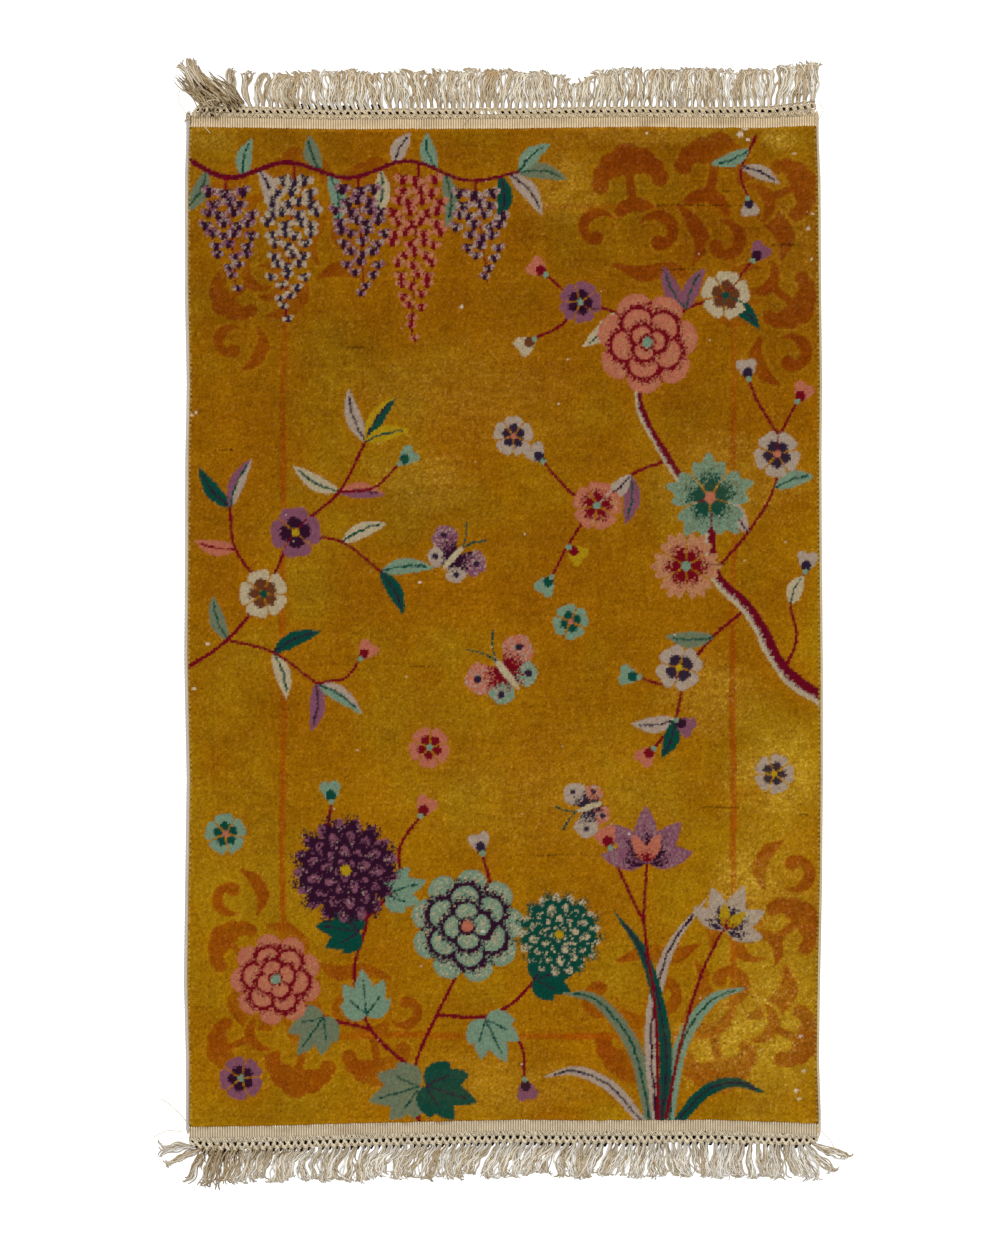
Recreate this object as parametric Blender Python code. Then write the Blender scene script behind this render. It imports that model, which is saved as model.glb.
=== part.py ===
"""A small hand-knotted wool rug lying flat, with knotted cotton fringes and overcast sides.

The rug lies on z = 0 with its pile up, its long way along Y and its upper end at +Y.
The origin is the middle of the pile's underside. Everything is in metres, and the
tables below are in millimetres, as their column names say.
"""

import math
from collections import namedtuple

import bmesh
import bpy

MM = 0.001
GAP = 0.3 * MM                  # between neighbouring pieces

# The pile field
PILE_THICKNESS = 9.0 * MM       # knots and foundation, floor to pile tips
PILE_ROUND = 2.2 * MM           # the pile's tips fall away at its rim by this much

# The overcast cord along each side
CORD_WIDTH = 4.6 * MM
CORD_HEIGHT = 6.0 * MM

# The bare cotton ends: a flat-woven web, a knotted net, and the fringe's locks
LOCKS = 89
WEB_THICKNESS = 3.0 * MM
KNOT_RISE = 1.1 * MM            # a knot's top above the net around it
LOCK_ROOT_SHARE = 0.50          # a lock's width at its knot, as a share of the pitch
LOCK_TOP_SHARE = 0.80           # its top is this much narrower than its foot
LEAN_WANDER = math.radians(6.0)
LENGTH_WANDER = 2.2 * MM
LONG_SWING = 103.0 * MM
SHORT_SWING = 44.0 * MM
NEARLY_STRAIGHT = math.radians(0.5)

HALF_WIDTH = 455.0 * MM         # near enough to tell the two sides' corners apart
SAME_PLACE = 0.1 * MM

# Linear colours and roughness
OLD_GOLD = (0.26, 0.15, 0.012)
BEIGE_COTTON = (0.50, 0.41, 0.28)
PALE_LILAC = (0.42, 0.36, 0.34)
PILE_ROUGHNESS = 0.85
YARN_ROUGHNESS = 0.8

# Outer rim of both side cords, from the middle line outwards
Side = namedtuple("Side", "y_mm left_mm right_mm")
SIDES = (
    Side(-700, 455.5, 455.5),
    Side(-625, 455.5, 453.0),
    Side(-510, 458.5, 454.5),
    Side(-366, 456.5, 457.5),
    Side(-222, 454.5, 458.5),
    Side(-50, 458.0, 458.5),
    Side(110, 457.0, 457.0),
    Side(240, 456.5, 456.5),
    Side(345, 454.5, 457.5),
    Side(480, 457.0, 456.0),
    Side(640, 457.0, 455.0),
    Side(700, 455.0, 452.5),
)

# Each side cord, and how far it runs on past the pile beside the cotton ends
SideCord = namedtuple("SideCord", "name side sign past_top_mm past_bottom_mm")
SIDE_CORDS = (
    SideCord("side_cord_left", "left_mm", -1, 17.0, 9.0),
    SideCord("side_cord_right", "right_mm", 1, 21.0, 16.0),
)

# Where the pile ends, from the middle line outwards. The net's outer edge is drawn
# further out by the pull, and towards +X by the shift.
End = namedtuple(
    "End", "x_mm top_mm top_pull_mm top_shift_mm bottom_mm bottom_pull_mm bottom_shift_mm")
ENDS = (
    End(-460, 714.5, 2.0, 13.0, 722.0, -15.0, 0.0),
    End(-425, 714.0, 2.0, 9.0, 721.5, 1.0, 0.0),
    End(-350, 713.0, 1.0, 0.0, 720.5, 1.5, 0.0),
    End(-240, 711.0, 0.0, 0.0, 717.5, 0.5, 0.0),
    End(-120, 711.5, 0.5, 0.0, 714.5, 0.5, 0.0),
    End(20, 712.0, 0.0, 0.0, 711.5, 0.0, 0.0),
    End(110, 713.5, 0.0, 0.0, 712.5, 0.5, 0.0),
    End(195, 714.5, 0.0, 0.0, 712.0, 1.0, 0.0),
    End(290, 713.0, 0.5, 0.0, 711.5, 0.0, 0.0),
    End(380, 713.0, 2.0, 0.0, 714.5, 0.0, 0.0),
    End(430, 715.5, 6.0, 0.0, 716.5, -0.5, 0.0),
    End(460, 716.5, 9.0, 0.0, 718.0, -13.0, 0.0),
)

# How the fringe lies: its lean from straight out towards +X, at the knot and at the tip
Lie = namedtuple("Lie", "x_mm root_deg tip_deg length_mm")
TOP_LIE = (
    Lie(-458, -24, -18, 72),
    Lie(-425, -38, -32, 72),
    Lie(-380, -44, -38, 70),
    Lie(-379, -36, -14, 53),
    Lie(-370, -32, -10, 52),
    Lie(-369, -18, -14, 54),
    Lie(-360, -12, -10, 54),
    Lie(-359, -2, 6, 31),
    Lie(-350, 0, 8, 31),
    Lie(-349, 0, 14, 50),
    Lie(-325, 4, 12, 55),
    Lie(-280, 2, 6, 57),
    Lie(-180, 3, -6, 56),
    Lie(-60, -2, 5, 55),
    Lie(60, 4, -4, 56),
    Lie(84, 0, -12, 50),
    Lie(98, 0, 0, 33),
    Lie(112, 2, 12, 50),
    Lie(140, 4, 0, 58),
    Lie(280, -3, 6, 56),
    Lie(400, 2, 4, 58),
    Lie(435, 6, 16, 58),
    Lie(458, 14, 12, 58),
)
BOTTOM_LIE = (
    Lie(-452, -98, -102, 58),
    Lie(-441, -78, -80, 55),
    Lie(-440, -64, -64, 54),
    Lie(-431, -44, -42, 52),
    Lie(-430, -34, -31, 52),
    Lie(-420, -16, -14, 50),
    Lie(-385, 4, 8, 45),
    Lie(-330, -8, 10, 44),
    Lie(-250, 6, -8, 46),
    Lie(-150, -10, 4, 45),
    Lie(-40, -6, 8, 46),
    Lie(40, -24, -4, 45),
    Lie(110, -12, 12, 46),
    Lie(200, 8, -10, 45),
    Lie(300, -6, 6, 44),
    Lie(380, 6, 8, 44),
    Lie(420, 20, 18, 48),
    Lie(430, 34, 28, 52),
    Lie(431, 40, 33, 52),
    Lie(440, 54, 44, 54),
    Lie(441, 68, 52, 60),
    Lie(452, 88, 64, 60),
)

# Rows of holes in the net: distance of a hole's middle past the pile, and its size
HoleRow = namedtuple("HoleRow", "past_pile_mm wide_mm long_mm")
OVER_KNOT_TOP = HoleRow(21.8, 4.6, 5.2)
OVER_KNOT_BOTTOM = HoleRow(23.6, 5.4, 5.2)
BETWEEN_LOCKS_BOTTOM = HoleRow(31.4, 4.6, 5.0)

CottonEnd = namedtuple("CottonEnd", "name sign edge pull shift lie web_mm net_mm over between")
COTTON_ENDS = (
    CottonEnd("cotton_end_top", 1, "top_mm", "top_pull_mm", "top_shift_mm",
              TOP_LIE, 13.2, 15.0, OVER_KNOT_TOP, None),
    CottonEnd("cotton_end_bottom", -1, "bottom_mm", "bottom_pull_mm", "bottom_shift_mm",
              BOTTOM_LIE, 14.2, 20.8, OVER_KNOT_BOTTOM, BETWEEN_LOCKS_BOTTOM),
)

# A lock's cross-sections from knot to tip: width as a share of the pitch, and height
Section = namedtuple("Section", "share width height_mm")
LOCK_SECTIONS = (
    Section(0.34, 0.76, 3.8),
    Section(0.70, 0.84, 3.4),
    Section(1.00, 0.72, 2.2),
)

# A side cord's cross-section: shares of its width outwards and of its height
CordPoint = namedtuple("CordPoint", "across up")
CORD_OUTLINE = (
    CordPoint(0.00, 0.15),
    CordPoint(0.25, 0.00),
    CordPoint(0.75, 0.00),
    CordPoint(1.00, 0.25),
    CordPoint(1.00, 0.65),
    CordPoint(0.70, 1.00),
    CordPoint(0.30, 1.00),
    CordPoint(0.00, 0.70),
)


def look_up(rows, column, at):
    """The value of a column, in its own unit, at a place in metres along the first column."""
    place = min(max(at / MM, rows[0][0]), rows[-1][0])
    for low, high in zip(rows, rows[1:]):
        if place <= high[0]:
            share = (place - low[0]) / (high[0] - low[0])
            start = getattr(low, column)
            return start + (getattr(high, column) - start) * share


def pile_side(side, y):
    """Distance of the pile's left or right rim from the middle line."""
    return look_up(SIDES, side, y) * MM - CORD_WIDTH - GAP


def pile_end(edge, x):
    """Distance of the pile's top or bottom rim from the middle line."""
    return look_up(ENDS, edge, x) * MM


def new_object(name, mesh_maker, colour, roughness):
    """An object named for its node, with its own material."""
    mesh = bpy.data.meshes.new(name)
    work = bmesh.new()
    mesh_maker(work)
    bmesh.ops.recalc_face_normals(work, faces=work.faces)
    work.to_mesh(mesh)
    work.free()
    piece = bpy.data.objects.new(name, mesh)
    bpy.context.scene.collection.objects.link(piece)
    material = bpy.data.materials.new(name)
    material.use_nodes = True
    shader = material.node_tree.nodes["Principled BSDF"]
    shader.inputs["Base Color"].default_value = (*colour, 1.0)
    shader.inputs["Roughness"].default_value = roughness
    shader.inputs["Metallic"].default_value = 0.0
    mesh.materials.append(material)
    return piece


def bridge(work, lower, upper):
    """Walls between two rings of vertices of the same count."""
    for i in range(len(lower)):
        j = (i + 1) % len(lower)
        work.faces.new((lower[i], lower[j], upper[j], upper[i]))


def pile_rim():
    """The pile's outline, anticlockwise from its lower left corner."""
    side_rows = [row.y_mm * MM for row in SIDES]
    inner_ends = [row.x_mm * MM for row in ENDS[1:-1]]
    first, last = side_rows[0], side_rows[-1]
    bottom = [-pile_side("left_mm", first), *inner_ends, pile_side("right_mm", first)]
    top = [-pile_side("left_mm", last), *inner_ends, pile_side("right_mm", last)]
    rim = [(x, -pile_end("bottom_mm", x)) for x in bottom]
    rim += [(pile_side("right_mm", y), y) for y in side_rows]
    rim += [(x, pile_end("top_mm", x)) for x in reversed(top)]
    rim += [(-pile_side("left_mm", y), y) for y in reversed(side_rows)]
    return rim


def make_pile(work):
    """A flat slab whose upper rim is rounded off in two steps."""
    rings = []
    for drop, inset in ((PILE_THICKNESS, 0.0), (PILE_ROUND, 0.0),
                        (0.3 * PILE_ROUND, 0.3 * PILE_ROUND), (0.0, PILE_ROUND)):
        ring = []
        for x, y in pile_rim():
            inwards_x = x - math.copysign(inset, x) if on_side(x, y) else x
            inwards_y = y - math.copysign(inset, y) if on_end(y) else y
            ring.append(work.verts.new((inwards_x, inwards_y, PILE_THICKNESS - drop)))
        rings.append(ring)
    work.faces.new(tuple(reversed(rings[0])))
    work.faces.new(tuple(rings[-1]))
    for lower, upper in zip(rings, rings[1:]):
        bridge(work, lower, upper)


def on_side(x, y):
    """Whether a point of the rim lies on a long side."""
    side = "left_mm" if x < 0 else "right_mm"
    return abs(abs(x) - pile_side(side, y)) < SAME_PLACE


def on_end(y):
    """Whether a point of the rim lies on a short end."""
    return abs(y) > SIDES[-1].y_mm * MM + SAME_PLACE


def make_side_cord(cord):
    """A cord beside the pile, following its rim."""
    def build(work):
        edge = cord.sign * HALF_WIDTH
        first = -pile_end("bottom_mm", edge) - cord.past_bottom_mm * MM
        last = pile_end("top_mm", edge) + cord.past_top_mm * MM
        rings = []
        for y in (first, *[row.y_mm * MM for row in SIDES], last):
            inner = pile_side(cord.side, y) + GAP
            rings.append([
                work.verts.new((cord.sign * (inner + p.across * CORD_WIDTH), y, p.up * CORD_HEIGHT))
                for p in CORD_OUTLINE
            ])
        work.faces.new(tuple(rings[0]))
        work.faces.new(tuple(reversed(rings[-1])))
        for lower, upper in zip(rings, rings[1:]):
            bridge(work, lower, upper)
    return build


def wander(x, turn):
    """A slow, even sway between -1 and 1 along the fringe."""
    long_swing = math.sin(math.tau * x / LONG_SWING + turn)
    short_swing = math.sin(math.tau * x / SHORT_SWING + 2.3 * turn)
    return 0.6 * long_swing + 0.4 * short_swing


class EndPlan:
    """Places on one cotton end: x across the rug, and the distance out past the pile."""

    def __init__(self, end):
        self.end = end
        self.left = -pile_side("left_mm", end.sign * pile_end(end.edge, -HALF_WIDTH))
        self.right = pile_side("right_mm", end.sign * pile_end(end.edge, HALF_WIDTH))
        self.pitch = (self.right - self.left) / LOCKS
        self.web_out = end.web_mm * MM
        self.net_out = self.web_out + end.net_mm * MM

    def lock_x(self, number):
        return self.left + (number + 0.5) * self.pitch

    def place(self, x, out):
        """The point in plan. The net is drawn out more towards its outer edge."""
        drawn = max(0.0, out - self.web_out) / (self.net_out - self.web_out)
        pull = look_up(ENDS, self.end.pull, x) * MM * drawn
        shift = look_up(ENDS, self.end.shift, x) * MM * drawn
        return x + shift, self.end.sign * (pile_end(self.end.edge, x) + out + pull)

    def along_lock(self, x, share):
        """The point reached by a yarn that leaves the net at x, on an arc of a circle."""
        lie = self.end.lie
        turn = 1.0 + self.end.sign
        length = look_up(lie, "length_mm", x) * MM + LENGTH_WANDER * wander(x, turn + 1.0)
        start = math.radians(look_up(lie, "root_deg", x))
        finish = math.radians(look_up(lie, "tip_deg", x)) + LEAN_WANDER * wander(x, turn)
        sweep = finish - start
        sweep = sweep if abs(sweep) > NEARLY_STRAIGHT else NEARLY_STRAIGHT
        angle = start + sweep * share
        across = length / sweep * (math.cos(start) - math.cos(angle))
        out = length / sweep * (math.sin(angle) - math.sin(start))
        foot_x, foot_y = self.place(x, self.net_out)
        return foot_x + across, foot_y + self.end.sign * out


def hole_sizes(holes):
    """A row's distance past the pile, and half the width and length of its holes."""
    return holes.past_pile_mm * MM, holes.wide_mm * MM / 2, holes.long_mm * MM / 2


def cell_loops(plan, number):
    """One lock's share of the web and net, as loops of (x, out) round its faces, and its knot."""
    end = plan.end
    middle = plan.lock_x(number)
    half = plan.pitch / 2
    root = LOCK_ROOT_SHARE * half
    left, right = middle - half, middle + half
    row, wide, long = hole_sizes(end.over)
    hole_in, hole_out = (middle, row - long), (middle, row + long)
    hole_left, hole_right = (middle - wide, row), (middle + wide, row)
    web_left, web_right = (left, plan.web_out), (right, plan.web_out)
    out = plan.net_out
    rim = [(right, out), (middle + root, out), (middle - root, out), (left, out)]
    right_side, left_side = [], []
    right_first, left_first = rim[0], rim[-1]
    if end.between:
        row, wide, long = hole_sizes(end.between)
        if number < LOCKS - 1:
            right_side = [(right, row - long), (right - wide, row), (right, row + long)]
            right_first = right_side[0]
        if number > 0:
            left_side = [(left, row + long), (left + wide, row), (left, row - long)]
            left_first = left_side[-1]
    faces = [
        [(left, GAP), (right, GAP), web_right, web_left],
        [web_left, web_right, hole_in],
        [web_left, hole_in, hole_left, left_first],
        [web_right, right_first, hole_right, hole_in],
    ]
    around = [hole_left, hole_out, hole_right, *right_side, *rim, *left_side]
    knot = (middle, (hole_out[1] + out) / 2)
    faces += [[around[i - 1], around[i], knot] for i in range(len(around))]
    return faces, knot


def make_cotton_end(end):
    """The web and net as one sheet with its holes, thickened, and a lock grown from each knot."""
    def build(work):
        plan = EndPlan(end)
        feet = {}

        def foot(point):
            key = (round(point[0] / MM, 3), round(point[1] / MM, 3))
            if key not in feet:
                feet[key] = work.verts.new((*plan.place(*point), 0.0))
            return feet[key]

        knots = []
        for number in range(LOCKS):
            loops, knot = cell_loops(plan, number)
            for loop in loops:
                work.faces.new([foot(point) for point in loop])
            knots.append(knot)
        tops = thicken(work, feet)
        for knot in knots:
            tops[foot(knot)].co.z += KNOT_RISE
        for number in range(LOCKS):
            grow_lock(work, plan, number, foot, tops)
    return build


def thicken(work, feet):
    """Raises a copy of the sheet and walls its open edges. Returns each foot's raised copy."""
    floor_faces = list(work.faces)
    open_edges = [edge for edge in work.edges if len(edge.link_faces) == 1]
    tops = {vert: work.verts.new((vert.co.x, vert.co.y, WEB_THICKNESS)) for vert in feet.values()}
    for face in floor_faces:
        work.faces.new([tops[vert] for vert in face.verts])
    for edge in open_edges:
        one, other = edge.verts
        work.faces.new((one, other, tops[other], tops[one]))
    return tops


def grow_lock(work, plan, number, foot, tops):
    """Opens the net's outer wall at a knot and carries it on to the lock's tip."""
    middle = plan.lock_x(number)
    root = LOCK_ROOT_SHARE * plan.pitch / 2
    left = foot((middle - root, plan.net_out))
    right = foot((middle + root, plan.net_out))
    ring = [left, right, tops[right], tops[left]]
    wall = next(face for face in left.link_faces if set(face.verts) == set(ring))
    work.faces.remove(wall)
    for section in LOCK_SECTIONS:
        wide = section.width * plan.pitch / 2
        height = section.height_mm * MM
        narrow = wide * LOCK_TOP_SHARE
        upper = []
        for offset, z in ((-wide, 0.0), (wide, 0.0), (narrow, height), (-narrow, height)):
            upper.append(work.verts.new((*plan.along_lock(middle + offset, section.share), z)))
        bridge(work, ring, upper)
        ring = upper
    work.faces.new(ring)


def clear_scene():
    for old in list(bpy.data.objects):
        bpy.data.objects.remove(old, do_unlink=True)


def main():
    clear_scene()
    new_object("pile_field", make_pile, OLD_GOLD, PILE_ROUGHNESS)
    for end in COTTON_ENDS:
        new_object(end.name, make_cotton_end(end), BEIGE_COTTON, YARN_ROUGHNESS)
    for cord in SIDE_CORDS:
        new_object(cord.name, make_side_cord(cord), PALE_LILAC, YARN_ROUGHNESS)


main()
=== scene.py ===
"""The looks of a small hand-knotted wool rug, laid flat and seen from straight above.

The pile is dyed knot by knot: the flowers, leaves, clouds and butterflies are worked out
from formulas on the grid of knots. The cotton ends are a ribbed web, a net of twisted and
knotted strands, and a fringe of kinky yarns. The design and the tables are in millimetres
and degrees, and the meshes in metres.
"""

import math
from collections import namedtuple

import bpy
import numpy as np
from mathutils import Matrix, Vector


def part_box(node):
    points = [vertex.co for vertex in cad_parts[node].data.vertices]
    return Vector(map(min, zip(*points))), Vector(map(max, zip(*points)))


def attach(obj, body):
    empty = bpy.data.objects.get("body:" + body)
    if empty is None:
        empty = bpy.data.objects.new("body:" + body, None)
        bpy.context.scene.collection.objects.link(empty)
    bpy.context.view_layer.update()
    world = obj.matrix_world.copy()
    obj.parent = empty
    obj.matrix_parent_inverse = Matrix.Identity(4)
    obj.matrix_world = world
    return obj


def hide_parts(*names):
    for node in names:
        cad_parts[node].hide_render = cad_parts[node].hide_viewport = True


MM = 0.001
GAP = 0.3 * MM

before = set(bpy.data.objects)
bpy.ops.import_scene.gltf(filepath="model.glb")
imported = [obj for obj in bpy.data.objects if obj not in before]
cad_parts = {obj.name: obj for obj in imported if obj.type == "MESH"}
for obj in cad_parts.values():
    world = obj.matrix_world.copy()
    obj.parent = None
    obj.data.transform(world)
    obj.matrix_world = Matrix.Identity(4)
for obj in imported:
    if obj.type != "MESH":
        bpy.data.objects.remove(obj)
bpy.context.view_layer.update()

# The pile's knots, dyed one by one, and how far they stray from their rows. A face of the pile
# carries two by two of them
KNOTS_ACROSS = 500
KNOTS_ALONG = 760
FIELD_LENGTH_MM = 1432.0
KNOT_STRAY_MM = 0.35

# The woven back's thickness and roughness
BACK_THICKNESS = 1.3 * MM
BACK_UNEVEN = 0.25 * MM

# The pile's packed height, how far its rim drops, and its usual level. Then what moves a point
# of its surface: single tufts, broad waves, crushed patches, raised figures, sideways shifts,
# ragged ends and an uneven rim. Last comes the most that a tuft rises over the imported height
PILE_THICKNESS = 9.0 * MM
PILE_ROUND = 1.6 * MM
PILE_LEVEL = PILE_THICKNESS - 0.55 * MM
PILE_UNEVEN = 0.16 * MM
PILE_WAVE = 0.25 * MM
PRESSED_BY = 0.8 * MM
RAISED_BY = 0.15 * MM
FACE_SHIFT = 0.30 * MM
RAGGED_BY = 0.45 * MM
RIM_UNEVEN = 0.5 * MM
TALLEST_TUFT = 0.2 * MM

# The pile rounds off inside its packed outline, and the cotton runs up to it there
TOP_INSET = 1.3 * MM
BOTTOM_INSET = 2.0 * MM
LEFT_INSET = 0.8 * MM
RIGHT_INSET = 0.1 * MM

# The field's width before it is fitted to the outline, and how far from the middle its sides
# run before the corners turn
FIRST_WIDTH = 0.906
SIDE_REACH = 0.7

# The woven back shows the design in coarser cells, mixed with this much bare cotton
BACK_ACROSS = 180
BACK_ALONG = 270
BACK_COTTON = 0.14

# How much of a face corner's dye is that of its own knot, and not of the three round it
OWN_DYE = 0.94

# The cotton ends
LOCKS = 89
WEB_RIBS = 255
WEB_THICKNESS = 3.0 * MM
RIB_HEIGHT = 0.62 * MM

# The fringe sways a little along the rug, in its lean and its length, by two waves together
LEAN_WANDER = math.radians(6.0)
LENGTH_WANDER = 2.2 * MM
LONG_SWING = 103.0 * MM
SHORT_SWING = 44.0 * MM

# The overcast side cords, which reach a little under the pile. Their middle line stands a share
# of their height up, and a share of their width away from the pile. They taper at their ends
CORD_OVERLAP = 0.4 * MM
CORD_HEIGHT = 6.0 * MM
CORD_RISE = 0.46
CORD_SHIFT = 0.42
CORD_TAPER = 160
WRAP_PITCH = 6.4 * MM

# The camera stands straight above, and its picture covers this much of the floor
SHOWN_LONG_SIDE = 1.7850
CAMERA_HEIGHT = 5.5
CAMERA_X = -0.0050
CAMERA_Y = 0.0036
SENSOR = 36.0


def table(kind, *rows):
    """Rows of values as named tuples of one kind."""
    return [kind(*row) for row in rows]


# Where the pile ends, from the middle line outwards, and how far the net's outer edge is pulled
# out and shifted sideways there
End = namedtuple(
    "End", "x_mm top_mm top_pull_mm top_shift_mm bottom_mm bottom_pull_mm bottom_shift_mm")
ENDS = table(
    End,
    (-460, 714.5, 2.0, 13.0, 722.0, -15.0, 0.0), (-425, 714.0, 2.0, 9.0, 721.5, 1.0, 0.0),
    (-350, 713.0, 1.0, 0.0, 720.5, 1.5, 0.0), (-240, 711.0, 0.0, 0.0, 717.5, 0.5, 0.0),
    (-120, 711.5, 0.5, 0.0, 714.5, 0.5, 0.0), (20, 712.0, 0.0, 0.0, 711.5, 0.0, 0.0),
    (110, 713.5, 0.0, 0.0, 712.5, 0.5, 0.0), (195, 714.5, 0.0, 0.0, 712.0, 1.0, 0.0),
    (290, 713.0, 0.5, 0.0, 711.5, 0.0, 0.0), (380, 713.0, 2.0, 0.0, 714.5, 0.0, 0.0),
    (430, 715.5, 6.0, 0.0, 716.5, -0.5, 0.0), (460, 716.5, 9.0, 0.0, 718.0, -13.0, 0.0))

# How the fringe lies: its lean from straight out towards +X, at the knot and at the tip
Lie = namedtuple("Lie", "x_mm root_deg tip_deg length_mm")
TOP_LIE = table(
    Lie,
    (-458, -26, -24, 66), (-438, -30, -26, 70), (-400, -46, -42, 73), (-379, -54, -48, 74),
    (-378, -52, 14, 62), (-371, -50, 14, 62), (-370, -34, 12, 57), (-356, -26, 20, 55),
    (-355, -6, 2, 34), (-346, 0, 10, 33), (-345, -2, 26, 50), (-325, -8, 24, 55),
    (-300, -24, 16, 57), (-262, -30, 22, 58), (-225, -34, 30, 58), (-180, -26, 20, 56),
    (-150, -6, -4, 57), (-60, 0, 8, 58), (20, 4, 14, 58), (84, 2, -10, 51), (98, 0, 0, 34),
    (112, 2, 12, 51), (140, 4, 0, 57), (280, -3, 6, 58), (400, 2, 4, 58), (435, 6, 14, 60),
    (458, 12, 12, 60))
BOTTOM_LIE = table(
    Lie,
    (-452, -98, -98, 56), (-441, -84, -78, 54), (-433, -60, -52, 54), (-424, -38, -26, 54),
    (-414, -20, -12, 52), (-390, -18, -20, 46), (-372, -34, -8, 49), (-321, -30, 8, 48),
    (-300, -50, -20, 50), (-249, -20, -12, 51), (-156, -34, -16, 52), (-105, -40, -4, 53),
    (-34, -42, 2, 53), (40, -46, 4, 52), (81, -46, 10, 51), (110, -30, 26, 50),
    (138, -20, -14, 50), (160, -26, -14, 50), (225, 0, 24, 48), (282, 14, 24, 49),
    (330, -8, -6, 49), (380, 4, -2, 48), (411, 10, 14, 48), (425, 26, 22, 52), (438, 44, 36, 54),
    (441, 62, 46, 58), (452, 84, 58, 60))


def linear(red, green, blue):
    """A colour given in 0 to 255 screen values, as linear light."""
    share = np.array((red, green, blue)) / 255.0
    return np.where(share <= 0.04045, share / 12.92, ((share + 0.055) / 1.055) ** 2.4)


# Dyes
GOLD = linear(130, 87, 2)
ORANGE_GOLD = linear(134, 80, 1)
OLIVE_GOLD = linear(135, 95, 7)
WORN_AND_SHEEN_GOLD = linear(175, 135, 34)
HALO = linear(146, 92, 2)
RUST = linear(120, 53, 2)
SEAM_GOLD = linear(146, 100, 10)
LINE_RUST = linear(134, 62, 2)
CRIMSON = linear(100, 7, 20)
MAROON = linear(88, 6, 26)
AUBERGINE = linear(42, 14, 34)
MAUVE = linear(114, 68, 84)
SALMON = linear(162, 92, 70)
LILAC = linear(150, 132, 116)
MINT = linear(104, 126, 104)
CELADON = linear(96, 104, 80)
TEAL = linear(8, 60, 48)
NAVY = linear(38, 26, 44)
YELLOW = linear(154, 122, 14)
CREAM = linear(162, 146, 116)
PEACH = linear(160, 112, 76)
BROWN = linear(88, 48, 26)
BEIGE = linear(230, 209, 172)
GREY_BEIGE = linear(217, 202, 174)
# A brown for painted shade in the grooves between the web's ribs
GROOVE_SHADE = linear(124, 96, 62)
IVORY = linear(255, 246, 226)
COOL_IVORY = linear(255, 248, 234)
TAN = linear(214, 194, 162)
COOL_TAN = linear(214, 197, 169)
SOILED = linear(150, 122, 74)
TAN_TIP = linear(212, 172, 118)
GREY_TIP = linear(226, 214, 196)
# A near black for the painted shade laid in the net's openings
HOLE_SHADE = linear(12, 7, 2)
# A brown for painted shade on the strands, at the fringe's roots and in the tangles
SHADE_BROWN = linear(92, 68, 40)
# A dark brown for painted shade in the gaps between the side cord's turns
TURN_GAP_SHADE = linear(66, 54, 10)
EDGE_CREAM = linear(176, 142, 66)
WHITE_FLECK = linear(236, 226, 206)
CORD_GREY = linear(180, 172, 164)
CORD_CREAM = linear(250, 228, 186)
CORD_TAN = linear(192, 174, 148)
CORD_GOLD = linear(255, 226, 92)

# The web and the net are as deep as web_mm and net_mm say. The holes over the knots and the
# knots lie hole_mm and knot_mm past the pile. Yarn is the dye of the web and the net, knots is
# how much lighter the net's knots are, and dull, pale and tip are the dyes of the fringe
CottonEnd = namedtuple(
    "CottonEnd", "name sign lie inset web_mm net_mm hole_mm knot_mm yarn knots dull pale tip seed")
COTTON_ENDS = table(
    CottonEnd,
    ("top", 1, TOP_LIE, TOP_INSET, 13.2, 15.0, 22.3, 26.6, BEIGE, 1.17, TAN, IVORY, TAN_TIP, 11),
    ("bottom", -1, BOTTOM_LIE, BOTTOM_INSET, 14.2, 20.8, 23.6, 28.6, GREY_BEIGE, 1.38, COOL_TAN,
     COOL_IVORY, GREY_TIP, 12))


# ---------------------------------------------------------------- meshes and noise

def node_points(node):
    """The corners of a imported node, in metres."""
    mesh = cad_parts[node].data
    flat = np.empty(len(mesh.vertices) * 3, np.float32)
    mesh.vertices.foreach_get("co", flat)
    return flat.reshape(-1, 3).astype(float)


def build_piece(name, points, polygons, dye=None, uv=None, domain="POINT"):
    """A mesh object from arrays of faces, one array for each number of corners."""
    mesh = bpy.data.meshes.new(name)
    sizes = np.concatenate([np.full(len(group), group.shape[1]) for group in polygons])
    corners = np.concatenate([group.ravel() for group in polygons])
    starts = np.concatenate(([0], np.cumsum(sizes)[:-1]))
    mesh.vertices.add(len(points))
    mesh.vertices.foreach_set("co", points.astype(np.float32).ravel())
    mesh.loops.add(len(corners))
    mesh.loops.foreach_set("vertex_index", corners.astype(np.int32))
    mesh.polygons.add(len(sizes))
    mesh.polygons.foreach_set("loop_start", starts.astype(np.int32))
    mesh.update(calc_edges=True)
    mesh.shade_smooth()
    if dye is not None:
        layer = mesh.color_attributes.new("dye", "FLOAT_COLOR", domain)
        rgba = np.ones((len(dye), 4), np.float32)
        rgba[:, :3] = dye
        layer.data.foreach_set("color", rgba.ravel())
    if uv is not None:
        mesh.uv_layers.new(name="OFBake").data.foreach_set("uv", uv.astype(np.float32).ravel())
    piece = bpy.data.objects.new(name, mesh)
    bpy.context.scene.collection.objects.link(piece)
    return piece


def plan_uv(points, polygons):
    """Texture places seen from straight above, one for each face corner."""
    corners = np.concatenate([group.ravel() for group in polygons])
    flat = points[corners][:, :2]
    low, high = points[:, :2].min(0), points[:, :2].max(0)
    return (flat - low) / (high - low).max()


NOISE_CELLS = 64
NOISE_START = 640.5


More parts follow.
